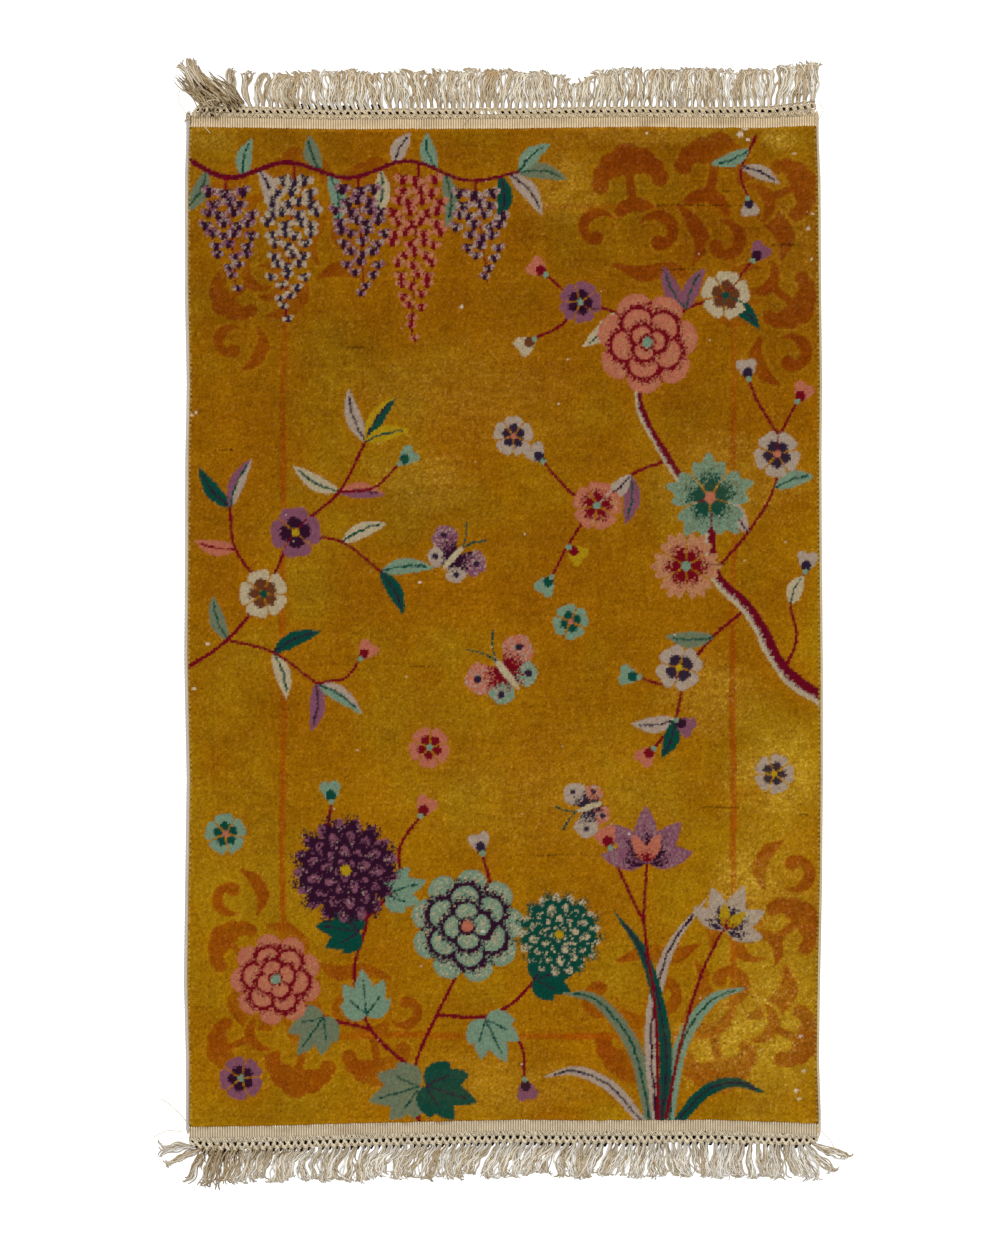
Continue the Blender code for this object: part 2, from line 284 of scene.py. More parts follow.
def noise(x, y, size, seed):
    """Smooth noise between -1 and 1 whose bumps lie about size apart.

    Its cells repeat, and their corners are moved off the middle lines of the rug.
    """
    values = np.random.default_rng(seed).uniform(-1, 1, (NOISE_CELLS, NOISE_CELLS))
    across, up = x / size + NOISE_START, y / size + NOISE_START
    column, row = np.floor(across).astype(int), np.floor(up).astype(int)
    across, up = across - column, up - row
    across, up = across * across * (3 - 2 * across), up * up * (3 - 2 * up)
    column, row = column % NOISE_CELLS, row % NOISE_CELLS
    right, above = (column + 1) % NOISE_CELLS, (row + 1) % NOISE_CELLS
    low = values[row, column] * (1 - across) + values[row, right] * across
    high = values[above, column] * (1 - across) + values[above, right] * across
    return low * (1 - up) + high * up


def cloudy(x, y, size, seed, octaves=3):
    """Noise with finer noise on it."""
    total, weight = 0.0, 0.0
    for octave in range(octaves):
        total = total + noise(x, y, size / 2 ** octave, seed + octave) / 2 ** octave
        weight += 1 / 2 ** octave
    return total / weight


def smooth_path(points, steps=10):
    """Points on a smooth curve through the given ones."""
    points = np.asarray(points, float)
    padded = np.vstack((2 * points[0] - points[1], points, 2 * points[-1] - points[-2]))
    share = np.arange(steps)[:, None] / steps
    pieces = []
    for i in range(len(points) - 1):
        a, b, c, d = padded[i:i + 4]
        pieces.append(0.5 * (2 * b + (c - a) * share + (2 * a - 5 * b + 4 * c - d) * share ** 2
                             + (3 * b - a - 3 * c + d) * share ** 3))
    return np.vstack((*pieces, points[-1]))


# ---------------------------------------------------------------- the pile's knots

# The rows and columns of knots bend by less than this along the wavy edges
WAVY_EDGE_MM = 12
FAR = 1e9


class Knots(namedtuple("Knots", "columns rows x y luck tone colour figure")):
    """Knots of the pile with their dyed colours. Places are in millimetres.

    Luck and tone are random values between 0 and 1, and figure is 1 where a motif is.
    """

    def near(self, x, y, reach_x, reach_y=None):
        """The knots within reach of a place, as a part that shares this one's colours."""
        reach_y = reach_x if reach_y is None else reach_y
        reach_x, reach_y = reach_x + WAVY_EDGE_MM, reach_y + WAVY_EDGE_MM
        left, right = np.searchsorted(self.columns, (x - reach_x, x + reach_x))
        low, high = np.searchsorted(self.rows, (y - reach_y, y + reach_y))
        return Knots(self.columns[left:right], self.rows[low:high],
                     *(field[low:high, left:right] for field in self[2:]))

    def seen_from(self, x, y, angle):
        """Distances along a direction from a place, and across it."""
        cos, sin = math.cos(math.radians(angle)), math.sin(math.radians(angle))
        right, up = self.x - x, self.y - y
        return right * cos + up * sin, up * cos - right * sin

    def paint(self, mask, dye):
        """Dyes knots, and marks them as part of a figure."""
        self.colour[mask] = dye
        self.figure[mask] = 1.0

    def paint_mixed(self, mask, dye, second, share):
        """One dye with knots of a second scattered through it."""
        self.paint(mask, dye)
        self.paint(mask & (self.tone < share), second)

    def tint(self, cover, dye):
        """Lays a thin colour over the ground."""
        self.colour[:] += (dye - self.colour) * cover[..., None]

    def lighten(self, light, power):
        """Makes the dyes lighter or darker, and their green by a power of that."""
        self.colour[:] *= np.stack((light, light ** power, light), -1)


def along_stroke(knots, path):
    """Each knot's distance from a path, its side of it, and how far along it lies."""
    nearest = np.full(knots.x.shape, FAR)
    side, share = np.zeros(knots.x.shape), np.zeros(knots.x.shape)
    for i, (start, end) in enumerate(zip(path, path[1:])):
        step = end - start
        length = max(np.hypot(*step), 1e-9)
        right, up = knots.x - start[0], knots.y - start[1]
        t = np.clip((right * step[0] + up * step[1]) / length ** 2, 0, 1)
        distance = np.hypot(right - t * step[0], up - t * step[1])
        closer = distance < nearest
        nearest[closer] = distance[closer]
        side[closer] = ((up * step[0] - right * step[1]) / length)[closer]
        share[closer] = ((i + t) / (len(path) - 1))[closer]
    return nearest, side, share


def around_path(knots, path, reach):
    """The knots in the box round a path, widened by reach."""
    low, high = path.min(0), path.max(0)
    middle, half = (low + high) / 2, (high - low) / 2
    return knots.near(middle[0], middle[1], half[0] + reach, half[1] + reach)


# A motif is drawn round its place, turned by its angle. Most sizes in it are shares of its
# radius, its length or its span, and the others are in millimetres

def draw(motif, knots, shared, *rows):
    """Draws a motif once for each row of its values, which follow those that all of them share."""
    for row in rows:
        motif(knots, *shared, *row)


def stem(knots, width, tip_width, *points, dye=CRIMSON):
    """A thin stem through the given points, narrowing towards its tip."""
    path = smooth_path(points)
    part = around_path(knots, path, width)
    nearest, _, share = along_stroke(part, path)
    ragged = nearest + 0.7 * (part.tone - 0.5)
    part.paint(ragged < (width + (tip_width - width) * share) / 2, dye)


def bough(knots, points, width, tip_width, lit_side):
    """A thick bough, maroon with one edge stippled pale."""
    path = smooth_path(points)
    part = around_path(knots, path, width)
    nearest, side, share = along_stroke(part, path)
    half = (width + (tip_width - width) * share) / 2
    half = half * (1 + 0.16 * noise(part.x, part.y, 24.0, 71))
    inside = nearest < half
    part.paint_mixed(inside, MAROON, CRIMSON, 0.3)
    towards = lit_side * side / half
    part.paint(inside & (part.luck < 1.9 * towards - 0.05), LILAC)
    part.paint(inside & (towards > 0.55) & (part.luck < 0.92), CREAM)


Petals = namedtuple("Petals", "count notch ripple")
ROUND_FIVE = Petals(5, 0.10, 0.03)
POINTED_FIVE = Petals(5, -0.10, 0.07)
ROUND_FOUR = Petals(4, 0.12, 0.02)
FRILLED_SIX = Petals(6, 0.02, 0.09)


def blossom(knots, x, y, radius, petals, turn, outer, inner, eye, blend=None):
    """An open single blossom, stippled at its heart, with the ground between its petals."""
    part = knots.near(x, y, 1.1 * radius)
    along, across = part.seen_from(x, y, turn)
    away = np.hypot(along, across)
    sector = math.tau / petals.count
    from_axis = (np.arctan2(across, along) + sector / 2) % sector - sector / 2
    place = from_axis / (sector / 2)
    bulge = np.sqrt(np.clip(1 - place ** 2, 0, 1))
    rim = radius * (0.66 + 0.30 * bulge)
    rim = rim * (1 - petals.notch * np.exp(-(place / 0.22) ** 2)
                 + petals.ripple * np.cos(3 * math.pi * place))
    gap = away * np.sin(sector / 2 * (1 - np.abs(place)))
    petal = (away < rim) & (gap > 1.1)
    part.paint_mixed(petal, outer, outer if blend is None else blend, 0.32)
    part.paint(petal & (away > rim - 4.0), outer)
    heart = radius * (0.30 + 0.26 * bulge)
    loose = (0.10 if blend is None else 0.34) * radius
    part.paint(petal & (part.luck < (heart + 0.5 * loose - away) / loose), inner)
    part.paint(away < max(0.14 * radius, 3.0), eye)


def bud(knots, size, x, y, angle, tip, cup):
    """A bud on its stalk: a small calyx, a dark cup and a lobed pale tip."""
    part = knots.near(x, y, 1.2 * size)
    along, across = part.seen_from(x, y, angle)
    lobes = np.hypot(along - 0.80 * size, np.abs(across) - 0.25 * size) < 0.26 * size
    middle = np.hypot(along - 0.58 * size, across) < 0.40 * size
    part.paint(lobes | middle, tip)
    hollow = np.hypot(0.9 * (along - 0.36 * size), across) < 0.25 * size
    part.paint(hollow, cup)
    part.paint(np.hypot(along - 0.06 * size, across) < 0.14 * size, MINT)


def leaf_shape(along, across, length, width, bend):
    """How far inside a bowed leaf knots lie, their distance from its vein, and their share along."""
    share = np.clip(along / length, 0, 1)
    from_vein = across - bend * length * np.sin(math.pi * share)
    half = width / 2 * np.sin(math.pi * share ** 0.85) ** 0.8
    depth = np.where((along > 0) & (along < length), half - np.abs(from_vein), -1.0)
    return depth, from_vein, share


def leaf(knots, width, bend, x, y, angle, length, body, vein, other=None):
    """A lance-shaped leaf with a dark wandering vein, its two halves alike or not."""
    part = knots.near(x, y, 1.1 * length)
    along, across = part.seen_from(x, y, angle)
    depth, from_vein, share = leaf_shape(along, across, length, width, bend)
    part.paint(depth > 0, body)
    if other is not None:
        part.paint((depth > 0) & (from_vein > 0), other)
    wandering = from_vein + 1.5 * noise(part.x, part.y, 6.0, 72)
    part.paint((depth > 0) & (np.abs(wandering) < 1.5) & (share > 0.02) & (share < 0.86), vein)


def lobed_leaf(knots, x, y, angle, size, body, vein):
    """A broad leaf cut into five lobes."""
    part = knots.near(x, y, 1.1 * size)
    for turn, reach in ((-62, 0.62), (62, 0.62), (-32, 0.84), (32, 0.84), (0, 1.0)):
        along, across = part.seen_from(x, y, angle + turn)
        depth, _, _ = leaf_shape(along, across, reach * size, 0.44 * size, 0.0)
        part.paint(depth > 0, body)
    for turn, reach in ((-40, 0.5), (40, 0.5), (0, 0.8)):
        along, across = part.seen_from(x, y, angle + turn)
        wandering = across + 1.2 * noise(part.x, part.y, 6.0, 74)
        part.paint((along > 0) & (along < reach * size) & (np.abs(wandering) < 1.3), vein)


# Rings of petals, from the outside in. Reach, length and half width are shares of the radius
Ring = namedtuple("Ring", "count reach length half_width")
CAMELLIA = table(Ring, (9, 0.74, 0.25, 0.27), (6, 0.47, 0.23, 0.24), (4, 0.22, 0.18, 0.19))
PEONY = table(Ring, (7, 0.72, 0.26, 0.33), (5, 0.44, 0.24, 0.27), (3, 0.17, 0.17, 0.18))
ASTER = table(Ring, (17, 0.71, 0.28, 0.125), (13, 0.47, 0.27, 0.115), (9, 0.25, 0.22, 0.10),
              (5, 0.10, 0.12, 0.07))


def full_flower(knots, x, y, radius, turn, rings, pale, blend, deep, heart):
    """A full flower in rings of petals. Each ring throws a stippled deep shade on the next."""
    part = knots.near(x, y, 1.1 * radius)
    shade = 0.17 * radius
    away = np.hypot(*part.seen_from(x, y, turn))
    for order, ring in enumerate(rings):
        nearest = np.full(part.x.shape, FAR)
        second = nearest.copy()
        for number in range(ring.count):
            angle = turn + 360.0 * (number + 0.5 * (order % 2)) / ring.count
            along, across = part.seen_from(x, y, angle)
            off = np.hypot((along / radius - ring.reach) / ring.length,
                           across / radius / ring.half_width)
            outside = (off - 1) * ring.half_width * radius
            second = np.minimum(second, np.maximum(nearest, outside))
            nearest = np.minimum(nearest, outside)
        seam = (nearest < 0) & (second - nearest < 0.055 * radius) & (part.luck < 0.72)
        nearest = np.minimum(nearest, away - ring.reach * radius)
        if order > 0:
            part.paint((nearest < shade) & (part.luck < 1.35 - 1.35 * nearest / shade), deep)
        part.paint_mixed(nearest < 0, pale, blend, 0.26)
        part.paint((nearest < 0) & (nearest > -3.2), pale)
        part.paint(seam, deep)
    part.paint((away < 0.17 * radius) & (part.luck < 0.8), deep)
    part.paint(away < 0.10 * radius, heart)


def iris(knots, x, y, angle, size, pale, blend, deep, heart):
    """A flower seen from the side: pointed petals in a fan, the near ones over the far ones."""
    part = knots.near(x, y, 1.2 * size)
    for turn, reach, width in ((-80, 0.90, 0.42), (80, 0.90, 0.42), (-42, 1.0, 0.46),
                               (42, 1.0, 0.46), (0, 1.08, 0.46)):
        along, across = part.seen_from(x, y, angle + turn)
        depth, from_vein, share = leaf_shape(along, across, reach * size, width * size, 0.0)
        part.paint_mixed(depth > 0, pale, blend, 0.3)
        chance = 1.9 - 2.8 * share - 0.05 * np.abs(from_vein)
        part.paint((depth > 0) & (part.luck < chance), deep)
        part.paint((depth > 0) & (depth < 2.0), pale)
    for turn in (-26, 26):
        along, across = part.seen_from(x, y, angle + turn)
        depth, _, share = leaf_shape(along, across, 0.60 * size, 0.26 * size, 0.0)
        part.paint(depth > 0, heart)
        part.paint((depth > 0) & (part.luck < 1.2 - 2.6 * share), CRIMSON)


def blade(knots, points, width, body, vein):
    """A long grass-like leaf with a vein down its middle."""
    path = smooth_path(points)
    part = around_path(knots, path, width)
    nearest, side, share = along_stroke(part, path)
    half = width / 2 * np.sin(math.pi * (0.10 + 0.90 * share) ** 0.8) ** 0.7
    part.paint(nearest < half, body)
    wandering = side + 1.4 * noise(part.x, part.y, 7.0, 73)
    part.paint((nearest < half - 1.2) & (np.abs(wandering) < 1.6) & (share < 0.9), vein)


RACEME_ROW = 15.0
RACEME_PITCH = 20.0


def raceme(knots, x, y, length, lean, pale, blend, deep):
    """A hanging cluster of small two-lobed flowers that narrows to its tip."""
    rows = round(length / RACEME_ROW)
    for row in range(rows):
        share = row / (rows - 1)
        count = max(1, round(3.7 * math.sin(math.pi * (0.30 + 0.68 * share)) ** 0.9))
        for number in range(count):
            shove = 4.0 * math.sin(2.4 * row + 1.7 * number + x)
            from_middle = (number - (count - 1) / 2) * RACEME_PITCH
            centre_x = x + lean * share * length + from_middle + shove
            centre_y = y - 12.0 - row * RACEME_ROW - 4.0 * ((number + row) % 2)
            size = 11.0 - 4.0 * share
            part = knots.near(centre_x, centre_y, 1.5 * size)
            along, across = part.seen_from(centre_x, centre_y, -90 + 4 * shove)
            wide = np.abs(across)
            wings = np.hypot(1.15 * along, wide - 0.52 * size) < 0.62 * size
            keel = np.hypot(0.8 * (along - 0.55 * size), across) < 0.40 * size
            part.paint_mixed(wings, pale, blend, 0.35)
            chance = 1.2 - 1.5 * wide / size - 0.5 * (along / size + 0.3)
            part.paint(wings & (part.luck < chance), deep)
            part.paint(keel, deep)


def butterfly(knots, x, y, angle, span, fore, hind, deep):
    """A butterfly seen from above, flying along the angle, its wings stippled near the body."""
    part = knots.near(x, y, 0.7 * span)
    for side in (-1, 1):
        for lean, reach, width, dye in ((128, 0.42, 0.34, hind), (64, 0.56, 0.40, fore)):
            along, across = part.seen_from(x, y, angle + side * lean)
            share = np.clip(along / (reach * span), 0, 1)
            half = width * span / 2 * np.sin(math.pi * share ** 1.35) ** 0.6
            half = half * (1 + 0.10 * np.cos(9 * share))
            inside = (along > 0) & (along < reach * span) & (np.abs(across) < half)
            part.paint_mixed(inside, dye, LILAC, 0.22)
            part.paint(inside & (part.luck < 1.5 - 2.5 * share), deep)
            spot = np.hypot(along - 0.70 * reach * span, across) < 0.05 * span
            part.paint(spot & inside, NAVY)
    along, across = part.seen_from(x, y, angle)
    part.paint(np.hypot(along / (0.26 * span), across / (0.05 * span)) < 1, CREAM)
    cos, sin = math.cos(math.radians(angle)), math.sin(math.radians(angle))
    for side in (-1, 1):
        feeler = ((0.22, 0.0), (0.40, 0.08 * side), (0.56, 0.22 * side))
        stem(knots, 2.6, 2.6, *((x + span * (a * cos - b * sin), y + span * (a * sin + b * cos))
                                for a, b in feeler), dye=TEAL)


# ---------------------------------------------------------------- clouds and the thin line

def soft_inside(distance, edge=2.0):
    """1 well inside an outline, 0 well outside it, from a distance that is negative inside."""
    return np.clip(0.5 - distance / edge, 0, 1)


# One corner's cloud, in parts. A head has a curled crown on a stem, a curl winds inwards, and a
# stroke swells and tapers
Head = namedtuple("Head", "x y angle radius")
Curl = namedtuple("Curl", "x y radius start sweep half_width")
Stroke = namedtuple("Stroke", "points half_widths")
CLOUD = (
    Head(-150, 52, 98, 52),
    Curl(-196, -34, 30, 30, 240, 10),
    Curl(-106, -40, 32, 150, -240, 11),
    Head(-24, 66, 78, 54),
    Stroke(((-78, 2), (-58, -22), (-44, -52), (-58, -84)), (3, 11, 12, 2)),
    Curl(-14, -52, 32, 100, -250, 11),
    Stroke(((20, -4), (52, -16), (74, -42), (70, -76)), (4, 15, 14, 3)),
    Head(90, 28, 22, 44),
    Stroke(((-170, -84), (-130, -96), (-88, -92), (-54, -108)), (3, 12, 12, 2)),
    Curl(24, -118, 34, 60, 250, 12),
    Head(86, -140, -40, 44),
    Stroke(((-36, -104), (-30, -136), (-6, -160), (26, -168)), (3, 13, 12, 2)),
    Curl(84, -214, 30, 120, -230, 11),
    Stroke(((40, -186), (32, -214), (44, -240), (66, -256)), (2, 11, 10, 2)),
)

# Where the cloud's middle stands in each corner, which way round, how large and how strong
Corner = namedtuple("Corner", "x y flip_x flip_y scale strength")
CORNERS = table(
    Corner,
    (329, 599, 1, 1, 1.00, 1.00), (-316, 590, -1, 1, 0.88, 0.86), (-316, -582, -1, -1, 0.90, 0.92),
    (334, -566, 1, -1, 1.00, 1.00))

# Pairs of discs that make up a head's crown, and those cut out of it: how far forward, how far
# to each side, and their radius
CROWN = ((0.30, 0.0, 0.46), (0.18, 0.42, 0.37), (-0.06, 0.70, 0.30), (-0.30, 0.82, 0.25))
BITES = ((-0.36, 0.40, 0.21), (-0.64, 0.48, 0.24))


def cloud_head(part, x, y, angle, radius):
    """Distance outside a cloud head: a scalloped crown with two curls, a stem and its foot.

    The numbers here and in CROWN and BITES are shares of its radius.
    """
    along, across = part.seen_from(x, y, angle)
    along, wide = along / radius, np.abs(across) / radius
    outside = np.full(along.shape, 9.0)
    for forward, apart, reach in CROWN:
        outside = np.minimum(outside, np.hypot(along - forward, wide - apart) - reach)
    for forward, apart, reach in BITES:
        outside = np.maximum(outside, reach - np.hypot(along - forward, wide - apart))
    flare = 0.12 + 0.10 * np.clip(-along - 0.4, 0, 1) ** 2
    outside = np.minimum(outside, np.maximum(wide - flare, np.abs(along + 0.40) - 0.62))
    foot = np.maximum(np.hypot(along + 1.42, wide) - 0.66, 0.70 - np.hypot(along + 1.86, wide))
    return radius * np.minimum(outside, foot)


def cloud_curl(part, x, y, radius, start, sweep, half_width):
    """Distance outside a hook that winds inwards to a round end."""
    share = np.linspace(0, 1, 16)
    turn, away = np.radians(start + sweep * share), radius * (1 - 0.62 * share)
    path = np.stack((x + away * np.cos(turn), y + away * np.sin(turn)), -1)
    nearest, _, share = along_stroke(part, path)
    return nearest - half_width * np.interp(share, (0.0, 0.3, 0.75, 1.0), (0.1, 0.85, 0.65, 1.0))


def cloud_stroke(part, points, half_widths):
    """Distance outside a curved stroke that swells and then runs to a point."""
    nearest, _, share = along_stroke(part, smooth_path(points, 8))
    return nearest - np.interp(share, (0.0, 0.35, 0.7, 1.0), half_widths)


OUTLINES = {Head: cloud_head, Curl: cloud_curl, Stroke: cloud_stroke}


def clouds(knots):
    """Rust clouds at the field's corners, each part of them set off by a line of gold."""
    for number, corner in enumerate(CORNERS):
        part = knots.near(corner.x, corner.y, 290 * corner.scale)
        local = part._replace(x=(part.x - corner.x) * corner.flip_x / corner.scale,
                              y=(part.y - corner.y) * corner.flip_y / corner.scale)
        cover, seam = np.zeros(part.x.shape), np.zeros(part.x.shape)
        for shape in CLOUD:
            outside = OUTLINES[type(shape)](local, *shape)
            around = soft_inside(outside - 4.8)
            cover = np.maximum(cover * (1 - around), soft_inside(outside))
            seam = np.maximum(seam, around)
        patchy = np.clip(0.95 + 0.16 * cloudy(part.x, part.y, 26.0, 81 + number), 0, 1)
        part.tint((seam - cover) * 0.35 * patchy, SEAM_GOLD)
        part.tint(cover * corner.strength * patchy, RUST)


# The thin line's four sides, its width and the radius of its corners
LINE_LEFT, LINE_RIGHT, LINE_TOP, LINE_BOTTOM = -316.0, 329.0, 599.0, -589.0
LINE_WIDTH = 8.6
LINE_TURN = 46.0


def thin_line(knots):
    """A thin soft line round the field, its corners rounded."""
    middle_x, middle_y = (LINE_LEFT + LINE_RIGHT) / 2, (LINE_TOP + LINE_BOTTOM) / 2
    half_x, half_y = (LINE_RIGHT - LINE_LEFT) / 2, (LINE_TOP - LINE_BOTTOM) / 2
    sway = 1.6 * noise(knots.x, knots.y, 90.0, 85) + 0.9 * noise(knots.x, knots.y, 11.0, 84)
    out_x = np.abs(knots.x - middle_x + sway) - half_x + LINE_TURN
    out_y = np.abs(knots.y - middle_y + sway) - half_y + LINE_TURN
    rounded = np.hypot(np.maximum(out_x, 0), np.maximum(out_y, 0))
    off = np.abs(rounded + np.minimum(np.maximum(out_x, out_y), 0) - LINE_TURN)
    fading = np.clip(0.84 + 0.24 * cloudy(knots.x, knots.y, 90.0, 86), 0, 1)
    fading = fading * np.clip(1.0 - (knots.y - 150) / 700, 0.45, 1)
    knots.tint(soft_inside(off - LINE_WIDTH / 2) * fading, LINE_RUST)


# ---------------------------------------------------------------- ground and wear

# Crushed and rubbed patches, paler partly from wear and partly from painted sheen, the places
# where two rows have parted, darkened with painted shade, and flecks of bare cotton
Worn = namedtuple("Worn", "x y reach_x reach_y amount")
WORN_PATCHES = table(
    Worn,
    (81, 631, 60, 50, 0.42), (397, 694, 24, 13, 0.8), (311, 207, 110, 56, 0.40),
    (-113, 207, 66, 36, 0.42), (397, -216, 62, 56, 0.80), (347, -381, 44, 56, 0.95),
    (332, -600, 74, 60, 1.05), (-34, -661, 130, 42, 0.36), (388, -465, 74, 230, 0.36),
    (420, 560, 40, 120, 0.16), (-60, 330, 150, 70, 0.20), (60, -240, 190, 80, 0.16),
    (190, 700, 120, 14, 0.36), (300, -104, 66, 52, 0.42), (-420, 694, 34, 16, 0.36),
    (396, -560, 54, 96, 0.80))
Opening = namedtuple("Opening", "x y length")
PILE_OPENINGS = table(
    Opening,
    (284, 600, 128), (322, 621, 24), (404, 544, 42), (316, -262, 62), (431, -272, 14),
    (-216, 398, 34), (120, 452, 40), (-400, 250, 30), (70, -330, 46), (300, 86, 36),
    (-120, -60, 30), (250, 508, 60))
Fleck = namedtuple("Fleck", "x y size")
FLECKS = table(
    Fleck,
    (206, 704, 2.4), (350, 695, 2.8), (418, 675, 2.6), (443, 588, 2.2), (437, 568, 2.8),
    (441, 523, 2.2), (339, 702, 5.0), (346, 711, 4.5), (-448, 300, 3.4), (-440, 304, 2.4),
    (-424, -28, 3.6), (-443, -92, 3.0), (425, -590, 2.6), (430, -640, 3.2), (419, -668, 3.8),
    (424, -680, 2.6), (-60, 455, 2.4), (-120, 60, 2.0), (30, 130, 2.0), (-300, 560, 2.4),
    (180, -300, 2.0), (-210, -180, 2.2), (92, 380, 2.0), (-30, -440, 2.6))

# Small flecks scattered evenly over the field, besides those of the table
EVEN_FLECKS = 60


def warm_bands(y):
    """Two broad bands where another lot of yarn was used, from 0 to 1."""
    return np.exp(-((y - 370) / 160) ** 2) + np.exp(-((y + 620) / 110) ** 2)


def ground(knots):
    """Broad changes of the gold, warm in one place and olive in another."""
    x, y = knots.x, knots.y
    warm = 0.48 + 1.05 * cloudy(x, y, 110.0, 88, 4) + y / 4500 + 0.20 * warm_bands(y)
    knots.tint(0.85 * np.clip(warm, 0, 1), ORANGE_GOLD)
    knots.tint(np.clip(1.4 * (0.5 - warm), 0, 1), OLIVE_GOLD)


def shade(knots):
    """Lighter and darker bands and patches over the ground, the clouds and the line; the mottle is
    partly painted sheen.
    """
    x, y = knots.x, knots.y
    lots = 0.05 * noise(0 * x, y, 34.0, 91) + 0.04 * noise(0 * x, y, 150.0, 92)
    # The mottle is partly tone that differs at random and partly painted sheen on the pile
    mottle_and_sheen = 0.19 * cloudy(x, y, 74.0, 93, 4) + 0.08 * cloudy(x, 1.5 * y, 15.0, 96)
    threads = 0.08 * noise(x, 9 * y, 30.0, 99) + 0.07 * noise(9 * x, y, 22.0, 100)
    lean = 0.075 - 0.115 * np.tanh((y + 20) / 230) - 0.035 * warm_bands(y)
    by_edge = 0.22 * np.exp(-((x - 458) / 36) ** 2 - ((y - 80) / 330) ** 2)
    light = 1 + lots + mottle_and_sheen + threads + lean + by_edge
    knots.lighten(light, 1.35)


def wear(knots):
    """How much the pile is crushed and rubbed, from 0 to 1."""
    x, y = knots.x, knots.y
    worn = np.zeros(x.shape)
    for patch in WORN_PATCHES:
        away = np.hypot((x - patch.x) / patch.reach_x, (y - patch.y) / patch.reach_y)
        ragged = away + 0.46 * cloudy(x, 1.5 * y, 34.0, 97, 4)
        worn = np.maximum(worn, patch.amount * np.clip(1.35 - ragged, 0, 1) ** 0.9)
    streaky = 0.66 + 0.60 * cloudy(0.6 * x, 1.8 * y, 10.0, 101) + 0.6 * (knots.luck - 0.45)
    return np.clip(worn * streaky, 0, 1)


def lit_ends(knots):
    """The last rows at both ends catch more light."""
    row = np.arange(KNOTS_ALONG)
    from_end = (np.minimum(row, row[::-1]) + 0.5) * FIELD_LENGTH_MM / KNOTS_ALONG
    knots.colour[:] *= (1 + 0.32 * np.exp(-(from_end / 4.2) ** 2))[:, None, None]


def open_pile(knots):
    """Short dark lines of painted shade where two rows of knots have parted, and pale flecks of bare
    cotton.
    """
    rng = np.random.default_rng(102)
    for row in PILE_OPENINGS:
        part = knots.near(row.x, row.y, row.length / 2, 8)
        across = np.abs(part.x - row.x) < row.length / 2
        level = np.abs(part.y - row.y - 2.0 * noise(part.x, 0 * part.y, 40.0, 103)) < 1.2
        # Painted shade in the parting
        part.colour[across & level & (part.luck < 0.75)] *= 0.35
    places = [*FLECKS]
    for _ in range(EVEN_FLECKS):
        places.append((rng.uniform(-440, 440), rng.uniform(-700, 700), rng.uniform(0.8, 1.3)))
    for x, y, size in places:
        part = knots.near(x, y, size)
        along, across = part.seen_from(x, y, 0)
        spot = np.hypot(along, 1.5 * across) < size
        part.colour[spot] = 0.55 * part.colour[spot] + 0.45 * WHITE_FLECK


def edge_dashes(knots):
    """Turns of the side cord that bite into the outermost knots of the pile, with painted shade in
    the gaps between the turns.
    """
    turned = (np.arange(KNOTS_ALONG) * FIELD_LENGTH_MM / KNOTS_ALONG / (WRAP_PITCH / MM)) % 1.0
    for column in (0, -1):
        dark = (turned < 0.30) & (knots.luck[:, column] < 0.85)
        light = (turned > 0.48) & (knots.luck[:, column] < 0.9)
        knots.colour[dark, column] = TURN_GAP_SHADE
        knots.colour[light, column] = EDGE_CREAM


# ---------------------------------------------------------------- the design

def wisteria(knots):
    """A vine along the top with hanging clusters and paired leaflets."""
    draw(leaf, knots, (23, 0.10),
         (-424, 652, -122, 78, CELADON, TEAL), (-372, 640, 78, 58, MINT, TEAL),
         (-350, 652, -74, 74, LILAC, NAVY), (-262, 652, 108, 52, CELADON, TEAL),
         (-250, 648, -82, 80, MINT, TEAL), (-176, 650, -98, 70, CREAM, TEAL),
         (-156, 660, 62, 50, LILAC, NAVY), (-96, 650, 104, 56, MINT, TEAL),
         (-84, 646, -88, 76, CELADON, TEAL), (18, 648, -8, 74, CELADON, TEAL),
         (22, 648, 42, 60, MINT, TEAL), (8, 646, -52, 76, LILAC, NAVY),
         (-4, 644, -92, 66, TEAL, NAVY))
    stem(knots, 8.0, 4.4, (-456, 668), (-392, 640), (-310, 662), (-222, 640), (-136, 664),
         (-52, 636), (20, 648), dye=MAROON)
    for x, y, length, lean, pale, blend, deep in (
            (-398, 634, 150, 0.10, MAUVE, LILAC, AUBERGINE),
            (-300, 650, 215, -0.06, LILAC, CREAM, NAVY),
            (-208, 638, 168, 0.05, MAUVE, LILAC, AUBERGINE),
            (-122, 652, 236, -0.04, SALMON, PEACH, CRIMSON),
            (-40, 632, 140, 0.12, LILAC, MAUVE, AUBERGINE)):
        stem(knots, 4.0, 4.0, (x, y + 6), (x, y - 14))
        middle = (x + 0.5 * lean * length, y - 0.5 * length)
        stem(knots, 2.6, 2.6, (x, y), middle, (x + lean * length, y - length))
        raceme(knots, x, y, length, lean, pale, blend, deep)


